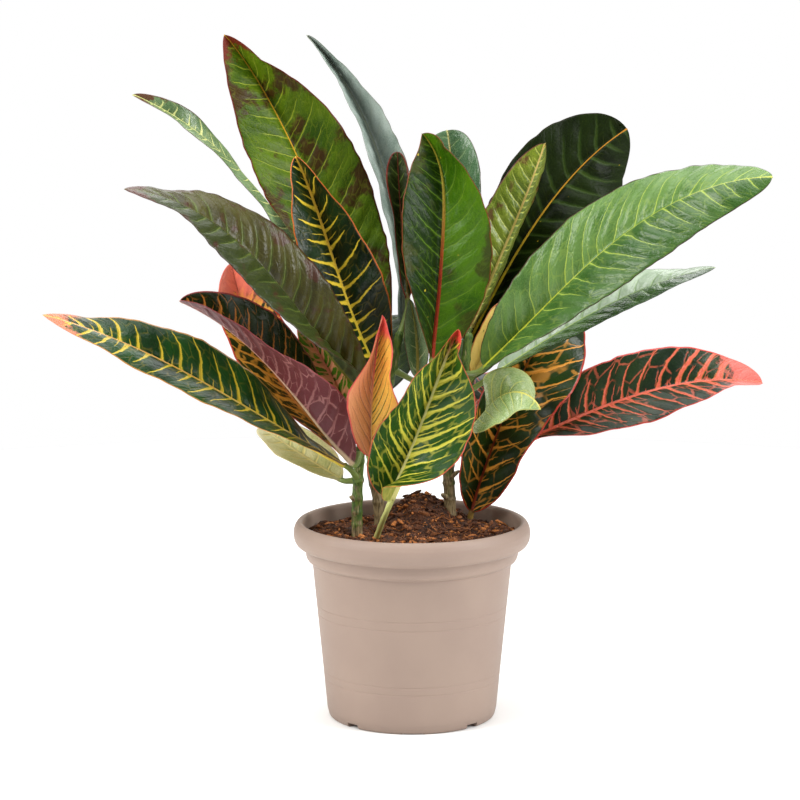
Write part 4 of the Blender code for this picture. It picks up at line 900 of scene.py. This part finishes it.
def scatter_mesh():
    """Bark chips, crumbs and fibres lying on the soil."""
    points, faces, tones = [], [], []

    def emit(p, f, tone):
        base = sum(len(q) for q in points)
        points.append(p)
        faces.append(np.asarray(f) + base)
        tones.append(np.full(len(p), tone))

    ico = bmesh.new()
    bmesh.ops.create_icosphere(ico, subdivisions=1, radius=1.0)
    ball = np.array([v.co[:] for v in ico.verts])
    ball_faces = [[v.index for v in f.verts] for f in ico.faces]
    ico.free()
    stems_at = [stem_point(s, 129)[:2] for s in STEMS]
    for k in range(3000):
        rr, aa = 73.0 * np.sqrt(rng.random()), 2 * np.pi * rng.random()
        x, y = rr * np.cos(aa), rr * np.sin(aa)
        if min(np.hypot(x - q[0], y - q[1]) for q in stems_at) < 5.0:
            continue
        size = 0.6 + 2.2 * rng.random() ** 2.2
        shape = ball * (size * np.array([1.1 + 1.3 * rng.random(), 0.4 + 0.5 * rng.random(), 0.25 + 0.4 * rng.random()]))
        shape = shape * (1 + 0.35 * (rng.random((len(ball), 1)) - 0.5))
        turn = np.array(Matrix.Rotation(rng.random() * 6.28, 3, "Z") @ Matrix.Rotation((rng.random() - 0.5) * 1.9, 3, "X") @ Matrix.Rotation((rng.random() - 0.5) * 1.2, 3, "Y"))
        z = float(soil_height(x, y) + heap(x, y) + crumbs(np.array(x), np.array(y)))
        emit(shape @ turn.T + (x, y, z + size * 0.25), ball_faces, rng.random() ** 1.5)
    for k in range(620):
        rr, aa = 71.0 * np.sqrt(rng.random()), 2 * np.pi * rng.random()
        x, y = rr * np.cos(aa), rr * np.sin(aa)
        if min(np.hypot(x - q[0], y - q[1]) for q in stems_at) < 6.0:
            continue
        length, bend = 3 + 9 * rng.random() ** 2, (rng.random() - 0.5) * 1.6
        s = np.linspace(-0.5, 0.5, 7)
        head = rng.random() * 6.28
        ang = head + bend * s
        px, py = x + s * length * np.cos(ang), y + s * length * np.sin(ang)
        out = np.hypot(px, py) > 73.4
        if out.any():
            continue
        pz = soil_height(px, py) + heap(px, py) + crumbs(px, py) * 0.5 + 0.6 + np.abs(s) * rng.random() * 1.4
        path = np.stack([px, py, pz], -1)
        r = 0.16 + 0.26 * rng.random()
        d = np.gradient(path, axis=0)
        d /= np.linalg.norm(d, axis=1)[:, None]
        sx = np.cross(d, (0, 0, 1.0))
        sx /= np.linalg.norm(sx, axis=1)[:, None]
        sy = np.cross(sx, d)
        ring = [path + r * (np.cos(q) * sx + np.sin(q) * sy) * (1 - 0.6 * (2 * np.abs(s)) ** 2)[:, None] for q in (0.0, 2.094, 4.189)]
        p = np.stack(ring, 1).reshape(-1, 3)
        f = []
        for i in range(6):
            for j in range(3):
                a0, b0 = i * 3 + j, i * 3 + (j + 1) % 3
                f += [(a0, b0, b0 + 3), (a0, b0 + 3, a0 + 3)]
        f += [(2, 1, 0), (18, 19, 20)]
        emit(p, f, 0.35 + 0.65 * rng.random())
    pts = np.vstack(points) * MM
    tone = np.zeros((len(pts), 3))
    tone[:, 0] = np.concatenate(tones)
    mesh = grid_mesh("croton_soil_bits", pts, np.vstack(faces), {"soil_a": tone})
    mesh.polygons.foreach_set("use_smooth", np.zeros(len(mesh.polygons), bool))
    bm = bmesh.new()
    bm.from_mesh(mesh)
    bmesh.ops.recalc_face_normals(bm, faces=bm.faces[:])
    bm.to_mesh(mesh)
    bm.free()
    return mesh


add_piece("croton_soil", soil_mesh(), soil_material("croton_soil_mix", rgb(30, 14, 6), rgb(92, 50, 22), rgb(150, 88, 40)), "potting_soil")
add_piece("croton_soil_bits", scatter_mesh(), soil_material("croton_soil_chips", rgb(44, 22, 9), rgb(112, 62, 28), rgb(206, 126, 62)), None)


# ---------------------------------------------------------------- pot
def pot_material():
    n = Nodes("croton_pot_plastic")
    coord = n.tree.nodes.new("ShaderNodeTexCoord").outputs["Object"]
    cloud = n.noise(coord, 22.0, 3.0, 0.5)
    grain = n.noise(coord, 2400.0, 3.0, 0.6)
    scuff = n.noise(coord, 260.0, 4.0, 0.7)
    colour = n.mix(n.step(cloud, 0.3, 0.7), rgb(146, 126, 114), rgb(151, 131, 118))
    colour = n.mix(n.math("MULTIPLY", n.step(scuff, 0.60, 0.75), 0.25), colour, rgb(158, 138, 125))
    height = n.split(coord)[2]
    colour = n.mix(n.math("MULTIPLY", n.step(height, 0.012, 0.0), 0.25), colour, rgb(124, 107, 97))
    n.put(n.bsdf.inputs["Base Color"], colour)
    n.put(n.bsdf.inputs["Roughness"], n.math("ADD", 0.46, n.math("MULTIPLY", scuff, 0.16)))
    n.bsdf.inputs["Specular IOR Level"].default_value = 0.4
    n.put(n.bsdf.inputs["Normal"], n.bump(n.math("ADD", n.math("MULTIPLY", grain, 0.06), n.math("MULTIPLY", cloud, 0.05)), MM))
    return n.mat


def pot_object():
    def soft(points, times=2):
        """Corner cutting, so that the turned corners are rounded."""
        p = np.asarray(points, float)
        for _ in range(times):
            q = [p[0]]
            for a, b in zip(p[:-1], p[1:]):
                gap = np.linalg.norm(b - a)
                c = min(0.25, 0.45 / gap) if gap > 0 else 0.25
                q += [a + (b - a) * c, b - (b - a) * c]
            q.append(p[-1])
            p = np.array(q)
        return p

    def line(z, depth=0.22, half=0.45):
        """A fine horizontal line moulded round the wall."""
        def wall(zz):
            return 61.2 + (71.6 - 61.2) * (zz - 6) / 106
        return [(wall(z - half), z - half), (wall(z) - depth, z - half * 0.35), (wall(z) - depth, z + half * 0.35), (wall(z + half), z + half)]

    outer = [(52.6, 3.6), (53.4, 0.0), (58.8, 0.0), (60.0, 1.2), (61.2, 6.0)]
    for z in (29.0, 34.6, 76.5, 83.0):
        outer += line(z)
    outer += [(71.7, 113.0), (71.9, 113.5), (74.0, 114.2), (75.6, 115.8), (76.4, 118.2), (76.8, 121.4), (77.0, 123.8), (77.5, 124.4), (80.8, 124.9),
              (83.0, 126.4), (84.6, 129.4), (85.1, 133.0), (84.9, 136.6), (83.9, 139.6), (82.4, 141.8), (80.4, 142.8), (78.5, 142.0), (77.6, 139.8),
              (77.0, 127), (74.6, 120), (69.6, 112), (59.2, 5.8)]
    profile = soft(outer)
    profile = np.vstack([profile, [[44.0, 5.8], [36.0, 5.8], [20.0, 5.8]], [[20.0, 3.6], [36.0, 3.6], [44.0, 3.6]]])
    sides = 240
    a = 2 * np.pi * np.arange(sides) / sides
    pts = np.stack([profile[:, 0:1] * np.cos(a)[None], profile[:, 0:1] * np.sin(a)[None], np.repeat(profile[:, 1:2], sides, 1)], -1)
    rows = len(profile)
    index = np.arange(rows * sides).reshape(rows, sides)
    nxt = np.roll(index, -1, 1)
    up = np.roll(index, -1, 0)
    upn = np.roll(up, -1, 1)
    # the profile closes on itself, so the floor keeps a small open eye, closed below by its own two faces
    quads = np.stack([index, nxt, upn, up], -1).reshape(-1, 4)
    top, low = rows - 4, rows - 3
    keep = np.ones((rows, sides), bool)
    keep[top] = False                                       # no wall at the eye: the floor runs to the axis
    quads = quads.reshape(rows, sides, 4)[keep].reshape(-1, 4)
    ends = []
    for k in range(0, sides, 2):
        b, c = (k + 1) % sides, (k + 2) % sides
        ends.append((rows * sides, index[top, k], index[top, b], index[top, c]))
        ends.append((rows * sides + 1, index[low, c], index[low, b], index[low, k]))
    points = np.vstack([pts.reshape(-1, 3), [[0, 0, 5.8], [0, 0, 3.6]]]) * MM
    mesh = grid_mesh("croton_pot", points, np.vstack([quads, ends]))
    bm = bmesh.new()
    bm.from_mesh(mesh)
    bmesh.ops.recalc_face_normals(bm, faces=bm.faces[:])
    bm.to_mesh(mesh)
    bm.free()
    pot = bpy.data.objects.new("croton_pot", mesh)
    bpy.context.scene.collection.objects.link(pot)
    tools = []
    bm = bmesh.new()
    for k in range(4):
        ang = np.pi / 2 * (k + 0.5) + 0.004
        place = Matrix.Rotation(ang, 4, "Z") @ Matrix.Translation(Vector((57.4, 0, 0)) * MM)
        bmesh.ops.create_cube(bm, size=1, matrix=place @ Matrix.Diagonal((18 * MM, 10 * MM, 6.8 * MM, 1)))
    bmesh.ops.create_cube(bm, size=1, matrix=Matrix.Translation(Vector((0.4, -57.4, 0)) * MM) @ Matrix.Diagonal((15 * MM, 18 * MM, 1.7 * MM, 1)))
    for k in range(8):
        ang = 2 * np.pi * (k / 8 + 0.31 / 48)
        bmesh.ops.create_cone(bm, cap_ends=True, segments=31, radius1=5 * MM, radius2=5 * MM, depth=0.012,
                              matrix=Matrix.Translation(Vector((36 * np.cos(ang), 36 * np.sin(ang), 4.7)) * MM))
    bmesh.ops.recalc_face_normals(bm, faces=bm.faces[:])
    tool_mesh = bpy.data.meshes.new("pot_cuts")
    bm.to_mesh(tool_mesh)
    bm.free()
    tool = bpy.data.objects.new("pot_cuts", tool_mesh)
    bpy.context.scene.collection.objects.link(tool)
    cut = pot.modifiers.new("cuts", "BOOLEAN")
    cut.operation, cut.solver, cut.object = "DIFFERENCE", "EXACT", tool
    bpy.context.view_layer.update()
    done = bpy.data.meshes.new_from_object(pot.evaluated_get(bpy.context.evaluated_depsgraph_get()))
    bpy.data.objects.remove(pot, do_unlink=True)
    bpy.data.objects.remove(tool, do_unlink=True)
    done.name = "croton_pot"
    done.materials.clear()
    done.polygons.foreach_set("use_smooth", np.ones(len(done.polygons), bool))
    done.set_sharp_from_angle(angle=np.radians(38))
    return done


add_piece("croton_pot", pot_object(), pot_material(), "pot")


# ---------------------------------------------------------------- floor, light and camera
def floor_material():
    n = Nodes("studio_floor")
    coord = n.tree.nodes.new("ShaderNodeTexCoord").outputs["Object"]
    soft = n.noise(coord, 3.0, 2.0)
    n.put(n.bsdf.inputs["Base Color"], n.mix(soft, rgb(244, 244, 243), rgb(248, 248, 247)))
    n.bsdf.inputs["Roughness"].default_value = 0.8
    n.bsdf.inputs["Specular IOR Level"].default_value = 0.1
    return n.mat


bm = bmesh.new()
bmesh.ops.create_circle(bm, cap_ends=True, segments=96, radius=1.15)
floor_mesh = bpy.data.meshes.new("studio_floor")
bm.to_mesh(floor_mesh)
bm.free()
floor = bpy.data.objects.new("studio_floor", floor_mesh)
bpy.context.scene.collection.objects.link(floor)
floor_mesh.materials.append(floor_material())

scene = bpy.context.scene
scene.view_settings.view_transform = "Standard"
world = bpy.data.worlds.new("studio")
scene.world = world
world.use_nodes = True
sky = world.node_tree.nodes["Background"]
sky.inputs[0].default_value = (1.0, 1.0, 1.0, 1.0)
# a white backdrop behind the object, and a softer surround that lights it
paths = world.node_tree.nodes.new("ShaderNodeLightPath")
level = world.node_tree.nodes.new("ShaderNodeMapRange")
level.inputs[3].default_value, level.inputs[4].default_value = 0.42, 1.0
world.node_tree.links.new(paths.outputs["Is Camera Ray"], level.inputs[0])
world.node_tree.links.new(level.outputs[0], sky.inputs[1])


def area(name, at, towards, size, power, tint=(1, 1, 1)):
    light = bpy.data.lights.new(name, "AREA")
    light.shape, light.size, light.size_y = "RECTANGLE", size[0], size[1]
    light.energy, light.color = power, tint
    obj = bpy.data.objects.new(name, light)
    scene.collection.objects.link(obj)
    obj.location = at
    obj.rotation_euler = (Vector(towards) - Vector(at)).to_track_quat("-Z", "Y").to_euler()
    return obj


area("key", (-1.65, -0.75, 1.35), (0, 0, 0.26), (0.9, 1.2), 40, (1.0, 0.99, 0.97))
area("fill", (1.65, -0.65, 1.15), (0, 0, 0.26), (0.8, 1.2), 34, (0.99, 0.995, 1.0))
area("top", (0.0, 0.0, 2.1), (0, 0, 0), (1.8, 1.8), 42)
area("rim", (0.2, 1.5, 1.3), (0, 0, 0.3), (1.6, 0.7), 10)

camera_data = bpy.data.cameras.new("camera")
camera_data.lens, camera_data.sensor_width, camera_data.sensor_fit = 132.57, 36.0, "HORIZONTAL"
camera_data.clip_start, camera_data.clip_end = 0.05, 50.0
camera = bpy.data.objects.new("camera", camera_data)
scene.collection.objects.link(camera)
camera.location = (-0.0086, -2.075, 0.569)
camera.rotation_euler = (np.radians(80.72), 0.0, 0.0)
scene.camera = camera

bpy.context.view_layer.update()
